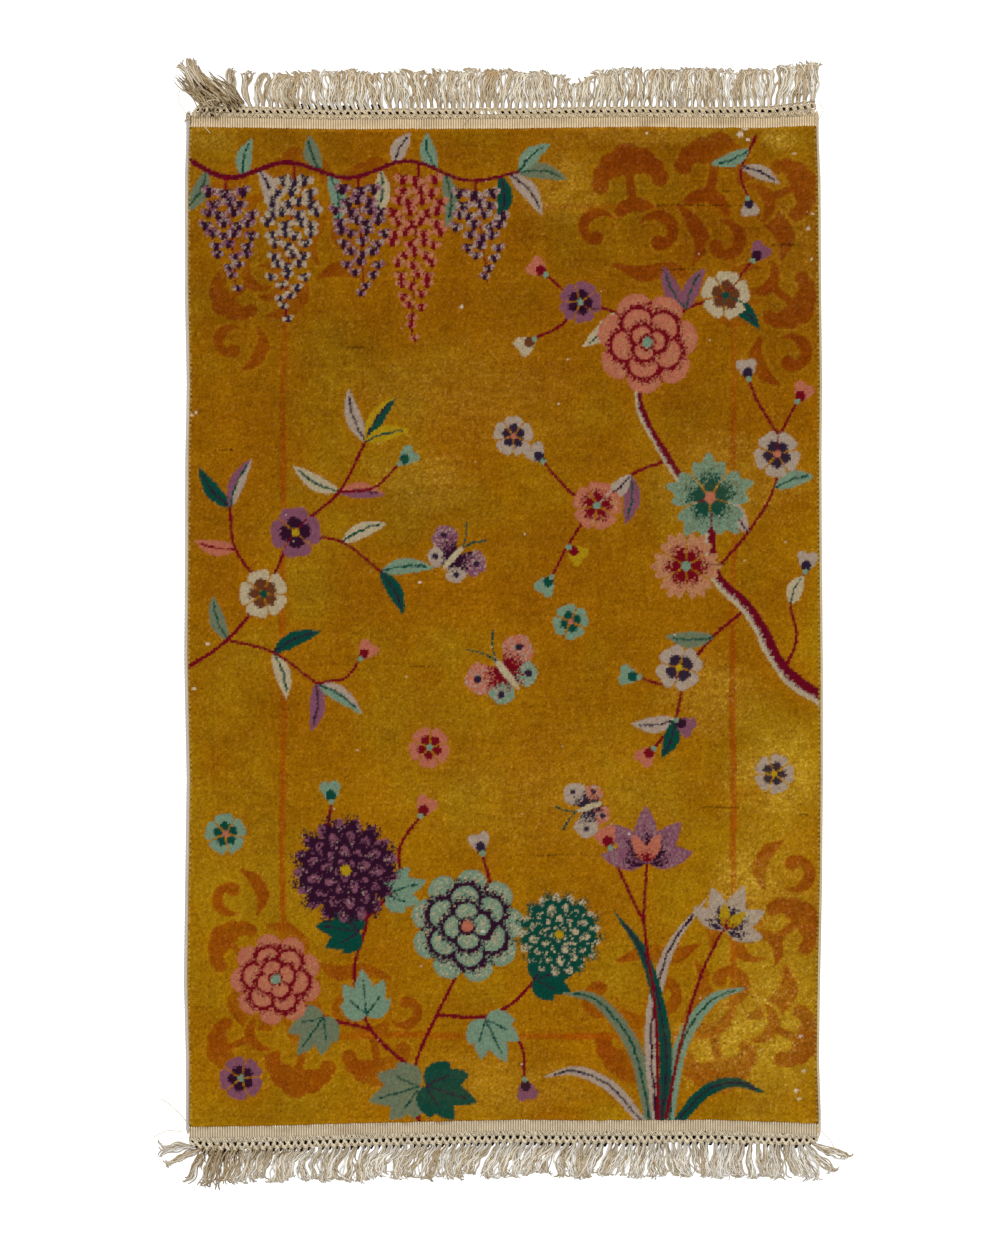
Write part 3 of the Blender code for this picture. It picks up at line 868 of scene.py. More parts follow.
def flowering_bough(knots):
    """A stippled bough that enters on the right and climbs, with blossoms on its twigs."""
    draw(stem, knots, (4.6, 3.8),
         ((304, 78), (350, 132), (388, 196), (396, 268), (420, 318)),
         ((236, 236), (182, 214), (132, 172), (92, 112), (70, 70)),
         ((132, 172), (96, 190), (58, 232)),
         ((350, 24), (300, -18), (262, -70), (246, -136), (216, -176)),
         ((262, -70), (226, -84), (196, -76)),
         ((204, 392), (160, 446), (108, 462), (62, 500)),
         ((108, 462), (84, 430), (46, 410)),
         ((212, 400), (262, 452), (312, 470), (356, 520)),
         ((396, 268), (366, 316), (352, 350)),
         ((402, -66), (420, -20), (412, 30), (432, 74)))
    bough(knots, ((462, -112), (402, -66), (354, 18), (302, 74), (290, 158), (238, 232),
                  (194, 318), (206, 396)), 23, 9, 1)
    draw(leaf, knots, (23, 0.08),
         (388, 196, 16, 60, MINT, TEAL), (350, 132, 112, 64, LILAC, NAVY),
         (262, 452, 118, 70, MAUVE, TEAL), (262, 452, 66, 64, MAUVE, TEAL),
         (312, 470, -40, 72, TEAL, NAVY), (182, 214, -96, 70, MAUVE, TEAL),
         (182, 214, -142, 62, LILAC, NAVY), (300, -18, 178, 68, CELADON, TEAL),
         (160, 446, -134, 66, CREAM, TEAL), (246, -136, 186, 62, LILAC, NAVY),
         (246, -136, -110, 58, TEAL, NAVY), (412, 30, 66, 44, CREAM, TEAL))
    full_flower(knots, 206, 404, 74, 8, PEONY, SALMON, PEACH, CRIMSON, MINT)
    draw(blossom, knots, (),
         (296, 182, 58, POINTED_FIVE, 20, MINT, TEAL, SALMON, CELADON),
         (262, 84, 50, FRILLED_SIX, 0, PEACH, CRIMSON, MINT, SALMON),
         (392, 244, 36, ROUND_FIVE, 50, LILAC, NAVY, SALMON),
         (134, 170, 38, ROUND_FIVE, 10, SALMON, CRIMSON, MINT, PEACH),
         (252, -62, 36, ROUND_FOUR, 30, LILAC, NAVY, YELLOW),
         (110, 462, 33, ROUND_FIVE, 70, MAUVE, AUBERGINE, MINT),
         (318, 472, 38, ROUND_FIVE, 12, CREAM, BROWN, TEAL))
    draw(bud, knots, (29,),
         (420, 318, 60, SALMON, CRIMSON), (352, 350, 100, LILAC, NAVY), (70, 70, 236, MINT, TEAL),
         (58, 232, 130, LILAC, NAVY), (216, -176, 226, SALMON, CRIMSON), (196, -76, 170, MINT, TEAL),
         (62, 500, 140, SALMON, CRIMSON), (46, 410, 214, CREAM, BROWN),
         (356, 520, 52, MAUVE, AUBERGINE), (92, 112, 320, YELLOW, CRIMSON),
         (246, -136, 330, MAUVE, AUBERGINE), (432, 74, 80, LILAC, NAVY))


def chrysanthemums(knots):
    """A clump of full flowers that grows from the lower edge, left of the middle."""
    draw(stem, knots, (5.8, 4.2),
         ((-120, -722), (-128, -640), (-96, -560), (-62, -490), (-50, -440)),
         ((-128, -640), (-190, -580), (-214, -500), (-196, -420), (-218, -350)),
         ((-190, -580), (-262, -560), (-316, -520)),
         ((-96, -560), (-20, -560), (36, -520), (64, -462)),
         ((-196, -420), (-152, -372), (-148, -318), (-120, -276)),
         ((-50, -440), (-20, -380), (-30, -330)),
         ((-218, -350), (-250, -300), (-246, -256)),
         ((-20, -560), (24, -600), (30, -650)))
    draw(lobed_leaf, knots, (),
         (-120, -662, 196, 76, CELADON, TEAL), (-112, -660, -18, 78, TEAL, NAVY),
         (-196, -560, 96, 66, MINT, TEAL), (-258, -562, 236, 66, CELADON, TEAL),
         (-26, -566, -64, 68, MINT, TEAL), (44, -508, 14, 66, TEAL, NAVY),
         (-168, -386, 18, 60, MINT, TEAL), (-206, -440, 172, 64, TEAL, NAVY))
    draw(full_flower, knots, (),
         (-226, -352, 76, 14, ASTER, MAUVE, LILAC, AUBERGINE, YELLOW),
         (-52, -432, 82, 4, CAMELLIA, MINT, CREAM, AUBERGINE, SALMON),
         (-326, -508, 66, 22, CAMELLIA, SALMON, PEACH, CRIMSON, MINT),
         (80, -444, 60, 10, ASTER, CREAM, LILAC, TEAL, YELLOW))
    draw(bud, knots, (30,),
         (-120, -276, 62, SALMON, CRIMSON), (-30, -330, 104, LILAC, NAVY),
         (-246, -256, 96, MINT, TEAL), (30, -650, 280, MAUVE, AUBERGINE))


def iris_clump(knots):
    """Grass-like blades and side-on flowers that grow from the lower edge on the right."""
    draw(blade, knots, (),
         (((212, -722), (188, -610), (136, -540), (84, -528)), 20, CELADON, TEAL),
         (((236, -722), (252, -610), (296, -540), (350, -520)), 20, MINT, TEAL),
         (((206, -722), (156, -664), (104, -640), (58, -648)), 17, LILAC, NAVY),
         (((242, -722), (286, -672), (330, -656), (376, -672)), 18, TEAL, NAVY),
         (((220, -722), (212, -580), (236, -470), (290, -394)), 19, LILAC, AUBERGINE),
         (((226, -722), (232, -600), (204, -480), (158, -410)), 18, TEAL, NAVY))
    draw(stem, knots, (5.2, 4.2),
         ((222, -722), (218, -560), (202, -430), (206, -330)),
         ((230, -722), (254, -600), (284, -500), (318, -430)))
    stem(knots, 4.6, 4.0, (202, -430), (166, -352), (156, -322))
    iris(knots, 206, -340, 92, 74, MAUVE, 0.6 * MAUVE + 0.4 * LILAC, AUBERGINE, SALMON)
    iris(knots, 318, -436, 66, 62, LILAC, 0.5 * LILAC + 0.5 * CREAM, NAVY, YELLOW)
    bud(knots, 32, 154, -322, 112, SALMON, CRIMSON)


def leafy_twig(knots):
    """A slender twig from the left edge with lance-shaped leaves and a few blossoms."""
    draw(leaf, knots, (22, 0.07),
         (-330, -40, 24, 74, TEAL, NAVY), (-330, -40, -74, 70, CREAM, TEAL),
         (-268, -84, -34, 78, MINT, TEAL, LILAC), (-268, -84, -96, 70, MAUVE, NAVY),
         (-384, 108, 168, 60, SALMON, CRIMSON), (-392, 168, 128, 72, TEAL, NAVY),
         (-392, 168, 66, 76, LILAC, TEAL, MAUVE), (-232, 118, 22, 70, CREAM, TEAL),
         (-176, 76, 4, 76, MINT, TEAL), (-176, 76, -62, 70, TEAL, NAVY),
         (-236, 190, -4, 66, MAUVE, NAVY, SALMON), (-236, 190, 150, 76, CREAM, TEAL),
         (-198, 262, 108, 80, LILAC, NAVY), (-198, 262, 56, 78, TEAL, NAVY, YELLOW),
         (-198, 262, 14, 66, YELLOW, TEAL), (-396, -22, 108, 66, CELADON, TEAL))
    stem(knots, 5.4, 4.4, (-460, -66), (-396, -22), (-340, 48), (-300, 130), (-236, 190),
         (-198, 262))
    draw(stem, knots, (4.4, 3.8),
         ((-396, -22), (-330, -40), (-268, -84)), ((-340, 48), (-384, 108), (-392, 168)),
         ((-300, 130), (-232, 118), (-176, 76)), ((-268, -84), (-226, -76), (-206, -50)),
         ((-236, 190), (-186, 196), (-150, 230)))
    blossom(knots, -344, 44, 38, ROUND_FIVE, 34, CREAM, BROWN, TEAL)
    blossom(knots, -298, 132, 40, ROUND_FOUR, 6, MAUVE, AUBERGINE, YELLOW)
    bud(knots, 28, -206, -50, 52, SALMON, CRIMSON)
    bud(knots, 28, -150, 230, 40, MINT, TEAL)


def flying_and_fallen(knots):
    """Butterflies over the open ground, and single blossoms that drift between the sprays."""
    butterfly(knots, 4, -70, 128, 108, SALMON, MINT, CRIMSON)
    butterfly(knots, -72, 96, 48, 88, MAUVE, LILAC, AUBERGINE)
    butterfly(knots, 122, -262, 200, 80, LILAC, SALMON, NAVY)
    draw(blossom, knots, (),
         (14, 270, 31, ROUND_FIVE, 16, LILAC, NAVY, SALMON),
         (-106, -176, 32, ROUND_FIVE, 50, SALMON, CRIMSON, MINT),
         (96, 4, 28, ROUND_FOUR, 20, MINT, TEAL, SALMON),
         (388, -214, 31, ROUND_FIVE, 0, LILAC, NAVY, YELLOW),
         (-398, -300, 32, ROUND_FIVE, 24, MINT, TEAL, SALMON),
         (-376, -650, 34, ROUND_FIVE, 40, MAUVE, AUBERGINE, MINT))
    stem(knots, 4.0, 4.0, (362, 700), (340, 650), (350, 612))
    bud(knots, 26, 350, 612, 280, LILAC, NAVY)
    draw(leaf, knots, (20, 0.08), (352, 680, 200, 58, MINT, TEAL), (342, 655, -24, 58, LILAC, NAVY))


def blurred(values, reach):
    """Values averaged over a square of knots, twice."""
    for _ in range(2):
        for axis in (0, 1):
            total = np.zeros_like(values)
            for step in range(-reach, reach + 1):
                total += np.roll(values, step, axis)
            values = total / (2 * reach + 1)
    return values


SPRAYS = (wisteria, leafy_twig, chrysanthemums, iris_clump, flowering_bough, flying_and_fallen)


def halo(knots, x, y, bare):
    """The ground glows a little round the figures."""
    glow = 2.2 * blurred(knots.figure, 7) * (1 + 0.5 * cloudy(x, y, 30.0, 106))
    knots.tint(0.5 * np.clip(glow, 0, 1) * bare, HALO)


def tufts(knots, x, y, bare, worn, rng):
    """Each knot is a little lighter or darker than the next, most of all on the worn ground, and pale
    specks of painted sheen lie on some bare knots.
    """
    tuft = rng.normal(0, 1, x.shape)
    lined = (np.roll(tuft, 1, 1) + np.roll(tuft, 1, 0)) / math.sqrt(2)
    fine = 0.15 * tuft + 0.02 * lined + 0.04 * cloudy(x, 1.8 * y, 7.0, 111)
    fine = np.clip(1 + fine * (1 - 0.45 * knots.figure) * (1 + 0.7 * worn), 0.45, 1.8)
    # Pale specks on some bare knots: painted sheen
    knots.tint(0.10 * (0.15 + worn) * np.clip(tuft - 1.1, 0, 0.8) * bare, WHITE_FLECK)
    knots.lighten(fine, 1.2)


def dyed_knots(x, y):
    """The colour of each knot, its wear and its figure, from the knots' places in millimetres."""
    rng = np.random.default_rng(5)
    shape = x.shape
    knots = Knots(x[shape[0] // 2].copy(), y[:, shape[1] // 2].copy(),
                  x + rng.normal(0, KNOT_STRAY_MM, shape), y + rng.normal(0, KNOT_STRAY_MM, shape),
                  rng.random(shape), rng.random(shape), np.tile(GOLD, (*shape, 1)), np.zeros(shape))
    worn = wear(knots)
    ground(knots)
    # The pale tint is partly wear and partly painted sheen of the crushed pile
    knots.tint(0.60 * worn, WORN_AND_SHEEN_GOLD)
    clouds(knots)
    thin_line(knots)
    shade(knots)
    for spray in SPRAYS:
        spray(knots)
    bare = knots.figure < 0.5
    halo(knots, x, y, bare)
    # More of the pale tint, partly wear and partly painted sheen, mostly on the bare ground
    knots.tint(worn * np.where(bare, 0.42, 0.10), WORN_AND_SHEEN_GOLD)
    tufts(knots, x, y, bare, worn, rng)
    lit_ends(knots)
    open_pile(knots)
    edge_dashes(knots)
    return knots.colour, worn, knots.figure


# ---------------------------------------------------------------- the pile and its back

def rim_curves():
    """The pile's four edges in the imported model, as functions of the place along them."""
    points = node_points("pile_field")
    rim = points[points[:, 2] < 0.1 * MM]
    at_end = np.abs(rim[:, 1]) > SIDE_REACH + 0.2 * MM
    sides, ends = rim[~at_end], rim[at_end]

    def curve(chosen, along, value):
        ordered = chosen[np.argsort(chosen[:, along])]
        return lambda place: np.interp(place, ordered[:, along], ordered[:, value])

    return (curve(sides[sides[:, 0] < 0], 1, 0), curve(sides[sides[:, 0] > 0], 1, 0),
            curve(ends[ends[:, 1] < 0], 0, 1), curve(ends[ends[:, 1] > 0], 0, 1))


# Each gives metres from the middle line for a place along its edge
LEFT, RIGHT, BOTTOM, TOP = rim_curves()


def field_grid(across, along):
    """Places on the pile field, row by row, for shares of its width and length.

    They start on a straight-sided field, and two rounds fit them between the wavy edges.
    """
    u, v = np.meshgrid(across, along)
    x = (u - 0.5) * FIRST_WIDTH
    for _ in range(2):
        y = BOTTOM(x) + BOTTOM_INSET + v * (TOP(x) - BOTTOM(x) - BOTTOM_INSET - TOP_INSET)
        x = LEFT(y) + LEFT_INSET + u * (RIGHT(y) - LEFT(y) - LEFT_INSET - RIGHT_INSET)
    return x, y


def grid_faces(rows, columns):
    """Faces of a grid of points, turned upwards."""
    index = np.arange(rows * columns).reshape(rows, columns)
    corners = (index[:-1, :-1], index[:-1, 1:], index[1:, 1:], index[1:, :-1])
    return np.stack(corners, -1).reshape(-1, 4)


def ring_of(rows, columns):
    """The points round a grid, anticlockwise seen from above."""
    index = np.arange(rows * columns).reshape(rows, columns)
    return np.concatenate((index[0, :-1], index[:-1, -1], index[-1, :0:-1], index[:0:-1, 0]))


def walls(lower, upper):
    """Faces between two rings, turned outwards."""
    return np.stack((lower, np.roll(lower, -1), np.roll(upper, -1), upper), -1)


def slab(grid, level, flip=False):
    """A grid of points closed by walls and a flat face at a level: points, faces and its rim.

    Flip turns the faces round, for a grid that faces down or whose rows run the other way.
    """
    rows, columns = grid.shape[:2]
    points = grid.reshape(-1, 3)
    rim = ring_of(rows, columns)
    far = points[rim].copy()
    far[:, 2] = level
    far_ring = len(points) + np.arange(len(rim))
    polygons = [grid_faces(rows, columns), walls(far_ring, rim), far_ring[::-1][None, :]]
    if flip:
        polygons = [group[:, ::-1] for group in polygons]
    return np.vstack((points, far)), polygons, rim


def corner_dye(colour):
    """A colour for each corner of faces that carry two by two knots.

    It is mostly that of the knot at the corner, and a little that of the three round it.
    """
    padded = np.pad(colour, ((1, 1), (1, 1), (0, 0)), mode="edge")
    met = (padded[::2, ::2] + padded[::2, 1::2] + padded[1::2, ::2] + padded[1::2, 1::2]) / 4
    near = np.stack((met[:-1, :-1], met[:-1, 1:], met[1:, 1:], met[1:, :-1]), 2)
    own = np.stack((colour[::2, ::2], colour[::2, 1::2], colour[1::2, 1::2], colour[1::2, ::2]), 2)
    return (OWN_DYE * own + (1 - OWN_DYE) * near).reshape(-1, 3)


def wall_dye(dye, rim):
    """One dye for every corner of a slab's walls, four to a wall, and of its flat face."""
    return np.tile(dye, (5 * len(rim), 1))


def make_pile(colour, worn, figure):
    """The pile as one closed mesh whose faces carry the knots."""
    rng = np.random.default_rng(21)
    rows, columns = KNOTS_ALONG // 2 + 1, KNOTS_ACROSS // 2 + 1
    x, y = field_grid(np.linspace(0, 1, columns), np.linspace(0, 1, rows))
    pressed = np.pad(worn[::2, ::2], ((0, 1), (0, 1)), mode="edge")
    raised = np.pad(blurred(figure, 1)[::2, ::2], ((0, 1), (0, 1)), mode="edge")
    z = PILE_LEVEL + PILE_UNEVEN * rng.normal(0, 0.8, x.shape)
    z += PILE_WAVE * cloudy(x, y, 0.05, 23) - PRESSED_BY * pressed + RAISED_BY * raised
    x[1:-1, 1:-1] += rng.uniform(-FACE_SHIFT, FACE_SHIFT, (rows - 2, columns - 2))
    y[1:-1, 1:-1] += rng.uniform(-FACE_SHIFT, FACE_SHIFT, (rows - 2, columns - 2))
    y[[0, -1], 1:-1] += rng.normal(0, RAGGED_BY, (2, columns - 2))
    edge = np.zeros(x.shape, bool)
    edge[[0, -1]], edge[:, [0, -1]] = True, True
    z[edge] = PILE_THICKNESS - PILE_ROUND + RIM_UNEVEN * rng.normal(0, 1, edge.sum())
    z = np.minimum(z, PILE_THICKNESS + TALLEST_TUFT)
    points, polygons, rim = slab(np.stack((x, y, z), -1), BACK_THICKNESS)
    # The pile's walls and underside are a darker gold: painted shade
    dye = np.vstack((corner_dye(colour), wall_dye(0.8 * GOLD, rim)))
    return build_piece("wool_pile", points, polygons, dye, plan_uv(points, polygons), "CORNER")


def make_back(colour):
    """The woven underside: the same design in coarser cells, with the cotton between them."""
    rng = np.random.default_rng(31)
    rows, columns = BACK_ALONG + 1, BACK_ACROSS + 1
    x, y = field_grid(np.linspace(0, 1, columns), np.linspace(0, 1, rows))
    z = BACK_UNEVEN * rng.random(x.shape)
    points, polygons, rim = slab(np.stack((x, y, z), -1), BACK_THICKNESS - 0.1 * MM, flip=True)
    row_pick = np.linspace(0, KNOTS_ALONG - 1, 2 * BACK_ALONG).round().astype(int)
    column_pick = np.linspace(0, KNOTS_ACROSS - 1, 2 * BACK_ACROSS).round().astype(int)
    picked = (1 - BACK_COTTON) * colour[np.ix_(row_pick, column_pick)] + BACK_COTTON * BEIGE
    picked = picked * (1 + 0.08 * rng.normal(0, 1, picked.shape[:2]))[..., None]
    dye = corner_dye(picked).reshape(-1, 4, 3)[:, ::-1].reshape(-1, 3)
    # The back's walls and upper face are a darker beige: painted shade
    dye = np.vstack((dye, wall_dye(0.7 * BEIGE, rim)))
    return build_piece("woven_back", points, polygons, dye, plan_uv(points, polygons), "CORNER")


# ---------------------------------------------------------------- strands

Strands = namedtuple("Strands", "points polygons uv crown")
STRAND_SIDES = 4

# Where a strand begins in its cell of the texture, and how much of the cell it covers
CELL_LOW, CELL_SPAN = 0.03, 0.94

# What a strand's sides are laid out against: a direction that it nowhere follows
UPWARDS = (0.0, 0.0, 1.0)
OUTWARDS = (0.0, 1.0, 0.0)


def unit(vectors, least=1e-12):
    """Vectors brought to a length of 1. Next to least, a vector stays short."""
    return vectors / (np.linalg.norm(vectors, axis=-1, keepdims=True) + least)


def tubes(paths, radii, axis=UPWARDS):
    """Closed strands along many paths at once. Their crown is 1 where they face upwards."""
    sides = STRAND_SIDES
    tangent = unit(np.gradient(paths, axis=1))
    side = unit(np.cross(np.broadcast_to(axis, tangent.shape), tangent))
    up = np.cross(tangent, side)
    turn = math.tau * np.arange(sides) / sides
    around = (np.cos(turn)[:, None] * side[:, :, None, :]
              + np.sin(turn)[:, None] * up[:, :, None, :])
    points = paths[:, :, None, :] + radii[:, :, None, None] * around
    count, length = paths.shape[:2]
    index = np.arange(count * length * sides).reshape(count, length, sides)
    following = np.roll(index, -1, axis=2)
    wall = np.stack((index[:, :-1], following[:, :-1], following[:, 1:], index[:, 1:]), -1)
    caps = np.concatenate((index[:, 0, ::-1], index[:, -1]))
    return Strands(points.reshape(-1, 3), [wall.reshape(-1, 4), caps], tube_uv(count, length),
                   np.clip(around[..., 2], 0, 1))


def tube_uv(count, length):
    """Each strand unrolled into its own cell of the texture."""
    sides = STRAND_SIDES
    cells = math.ceil(math.sqrt(count))
    cell = np.arange(count)
    origin = np.stack((cell % cells, cell // cells), -1) / cells
    along, around = np.meshgrid(np.arange(length), np.arange(sides), indexing="ij")
    u = (along[:-1, :, None] + (0, 0, 1, 1)) / (length - 1)
    v = (around[:-1, :, None] + (0, 1, 1, 0)) / sides
    inside = CELL_LOW + CELL_SPAN * np.stack((u, v), -1)
    wall = origin[:, None, None, None, :] + inside[None] / cells
    lap = CELL_LOW + CELL_SPAN * np.arange(sides) / sides
    first = np.stack((np.full(sides, CELL_LOW), lap[::-1]), -1)
    last = np.stack((np.full(sides, CELL_LOW + CELL_SPAN), lap), -1)
    caps = [origin[:, None, :] + end[None] / cells for end in (first, last)]
    return np.concatenate((wall.reshape(-1, 2), *[cap.reshape(-1, 2) for cap in caps]))


def build_strands(name, groups):
    """A piece of several sets of strands and their dyes, its textures side by side."""
    points, polygons, uvs, dyes, first = [], [], [], [], 0
    for number, (part, dye) in enumerate(groups):
        points.append(part.points)
        polygons += [face + first for face in part.polygons]
        uvs.append((part.uv + (number, 0)) / (len(groups), 1))
        dyes.append(dye)
        first += len(part.points)
    return build_piece(name, np.vstack(points), polygons, np.vstack(dyes), np.vstack(uvs))


def strand_dye_with_shade(base, part, low, high, shade, edge):
    """Colours for strands with painted shade: darker and browner low down, and on their flanks.

    base is one colour for each ring of the strands.
    """
    height = part.points[:, 2].reshape(part.crown.shape)
    lit = 1 - shade * (1 - np.clip((height - low) / (high - low), 0, 1))
    lit = (lit * (1 - edge * (1 - part.crown)))[..., None]
    base = np.broadcast_to(base[:, :, None, :], (*part.crown.shape, 3))
    return (base * lit + 0.12 * SHADE_BROWN * (1 - lit)).reshape(-1, 3)


# ---------------------------------------------------------------- the cotton ends

def wander(x, turn):
    """A slow, even sway between -1 and 1 along the fringe."""
    long_swing = np.sin(math.tau * x / LONG_SWING + turn)
    short_swing = np.sin(math.tau * x / SHORT_SWING + 2.3 * turn)
    return 0.6 * long_swing + 0.4 * short_swing


def read_off(rows, name, x):
    """A column of a table, read off at places across the rug."""
    return np.interp(x, [row.x_mm * MM for row in rows], [getattr(row, name) for row in rows])


class EndPlan:
    """Places on one cotton end: x across the rug, and the distance out past the pile."""

    def __init__(self, end):
        self.end = end
        corner_y = end.sign * SIDE_REACH
        self.left, self.right = float(LEFT(corner_y)), float(RIGHT(corner_y))
        self.pitch = (self.right - self.left) / LOCKS
        self.web_out = end.web_mm * MM
        self.net_out = self.web_out + end.net_mm * MM
        self.lock_x = self.left + (np.arange(LOCKS) + 0.5) * self.pitch
        self.between_x = self.left + np.arange(LOCKS + 1) * self.pitch

    def place(self, x, out):
        """The point in plan. The net is drawn out more towards its outer edge."""
        drawn = np.maximum(0.0, out - self.web_out) / (self.net_out - self.web_out)
        edge, pull, shift = (read_off(ENDS, self.end.name + kind, x) * MM
                             for kind in ("_mm", "_pull_mm", "_shift_mm"))
        return x + shift * drawn, self.end.sign * (edge + out + pull * drawn)

    def lean(self, x, share):
        """How far the fringe leans from straight out, at a share of its length."""
        start = np.radians(read_off(self.end.lie, "root_deg", x))
        finish = np.radians(read_off(self.end.lie, "tip_deg", x))
        finish = finish + LEAN_WANDER * wander(x, 1.0 + self.end.sign)
        return start + (finish - start) * share

    def length(self, x):
        length = read_off(self.end.lie, "length_mm", x) * MM
        return length + LENGTH_WANDER * wander(x, 2.0 + self.end.sign)


# How far the web's rows of points lie past the pile, and their heights against its thickness.
# The first row moves in to where the pile stands, and two more rows end the web
WEB_OUTS_MM = (0.0, 0.9, 2.6, 5.0, 8.0, 11.0)
WEB_CROWN = (2.10, 1.34, 1.08, 1.0, 1.0, 0.99, 0.96, 0.70)


def make_web(plan):
    """The flat-woven band beside the pile, its warp ribs standing side by side."""
    end = plan.end
    columns = 4 * WEB_RIBS + 1
    outs = np.array((*WEB_OUTS_MM, end.web_mm - 0.7, end.web_mm + 0.9)) * MM + GAP
    outs[0] = -end.inset - GAP
    crown = np.array(WEB_CROWN)[:, None]
    x, out = np.meshgrid(np.linspace(plan.left, plan.right, columns), outs)
    rib = np.cos(math.tau * (np.arange(columns) % 4) / 4)[None, :]
    uneven = noise(x / MM, out / MM, 4.0, 41 + end.seed)
    z = WEB_THICKNESS * crown * (1 + 0.05 * uneven) + RIB_HEIGHT * (rib - 1) * crown
    grid = np.stack((*plan.place(x, out), z), -1)
    points, polygons, rim = slab(grid, 0.15 * MM, flip=end.sign < 0)
    tone = 1 + 0.07 * cloudy(x / MM, out / MM, 22.0, 43 + end.seed) + 0.10 * uneven
    stain = np.clip(cloudy(x / MM, 3 * out / MM, 60.0, 47 + end.seed) - 0.2, 0, 1)
    # Painted shade in the grooves between the ribs, together with real stains
    groove_shade_and_stain = np.clip((0.42 - 0.42 * rib) + 0.35 * stain, 0, 1)
    # Painted light on the web next to the pile, against the shade and shadow the pile throws there
    tone += (0.64 - 0.18 * end.sign) * np.exp(-(out + end.inset) / (2.0 * MM))
    dye = 1.09 * end.yarn * tone[..., None]
    dye += (GROOVE_SHADE - dye) * groove_shade_and_stain[..., None]
    dye = dye.reshape(-1, 3)
    # The web's walls darken towards the floor to six tenths: painted shade
    dye = np.vstack((dye, dye[rim] * 0.6))
    return build_piece("web_" + end.name, points, polygons, dye, plan_uv(points, polygons))


def twisted(centre, radius, turns, phase, plies):
    """Plies wound round centre lines: (strands, points, 3) becomes plies times as many."""
    count, length = centre.shape[:2]
    tangent = unit(np.gradient(centre, axis=1))
    side = unit(np.stack((tangent[..., 1], -tangent[..., 0], np.zeros((count, length))), -1), 1e-9)
    share = np.linspace(0, 1, length)
    wound = []
    for ply in range(plies):
        angle = math.tau * (turns * share[None, :] + ply / plies) + phase[:, None]
        offset = np.cos(angle)[..., None] * side
        offset[..., 2] += 0.8 * np.sin(angle)
        wound.append(centre + radius * offset)
    return np.concatenate(wound)


def humped_lines(plan, starts, ends, steps, low, high):
    """Lines from (x, out) places to others, humped from a low height to a high one between."""
    share = np.linspace(0, 1, steps)[None, :]
    count = len(starts[0])
    x, out = (np.broadcast_to(start, count)[:, None] * (1 - share)
              + np.broadcast_to(end, count)[:, None] * share for start, end in zip(starts, ends))
    z = low + (high - low) * np.sin(math.pi * share) + 0 * x
    return np.stack((*plan.place(x, out), z), -1)


# Painted shade: low dark strands in a row of openings. How far they reach to each side, where
# their rows lie, the share of openings without them, how far a row is shifted for its step, and their
# height
Fibres = namedtuple("Fibres", "reach_mm steps_mm open_share slant height_mm")
IN_HOLES = {"top": Fibres(4.0, (-1.7, -0.7, 0.3, 1.3), 0.0, -0.4, 0.6),
            "bottom": Fibres(4.1, (-2.4, -1.2, 0.0, 1.2, 2.4), 0.0, -0.4, 0.6)}
IN_PINHOLES = Fibres(1.2, (0.0, 0.9), 0.1, 0.0, 3.1)
BETWEEN_LOCKS = Fibres(2.8, (-2.4, -1.3, -0.2, 0.9, 2.0, 3.1, 4.2), 0.08, -0.6, 0.6)
IN_TEARS = Fibres(2.3, (-2.6, -1.4, -0.2, 1.0, 2.2, 3.4), 0.06, -0.4, 2.4)
BETWEEN_LOCKS_OUT = 30.6 * MM
TEARS_OUT = 29.8 * MM
TEARS_ALONG = (-316 * MM, -176 * MM)
OPEN_HOLES_ALONG = (-38 * MM, -2 * MM)

# How plies wind round a line, how often, their number and radius, and the line's heights
Twist = namedtuple("Twist", "winding_mm turns plies radius_mm steps low_mm high_mm")
STITCH = Twist(0.55, 0.6, 2, 0.95, 6, 1.6, 2.7)
LEG = Twist(0.95, 0.9, 3, 1.05, 8, 1.8, 2.6)

HOLE_SHADE_RADIUS = 0.72 * MM
WRAP_RADIUS = 0.95 * MM
CROSSED_RADIUS = 1.0 * MM
LONG_CORD_RADIUS = 1.15 * MM
KNOT_HALF_WIDTH = 3.1 * MM
CROSSED_SHARE = {"top": 0.90, "bottom": 0.40}


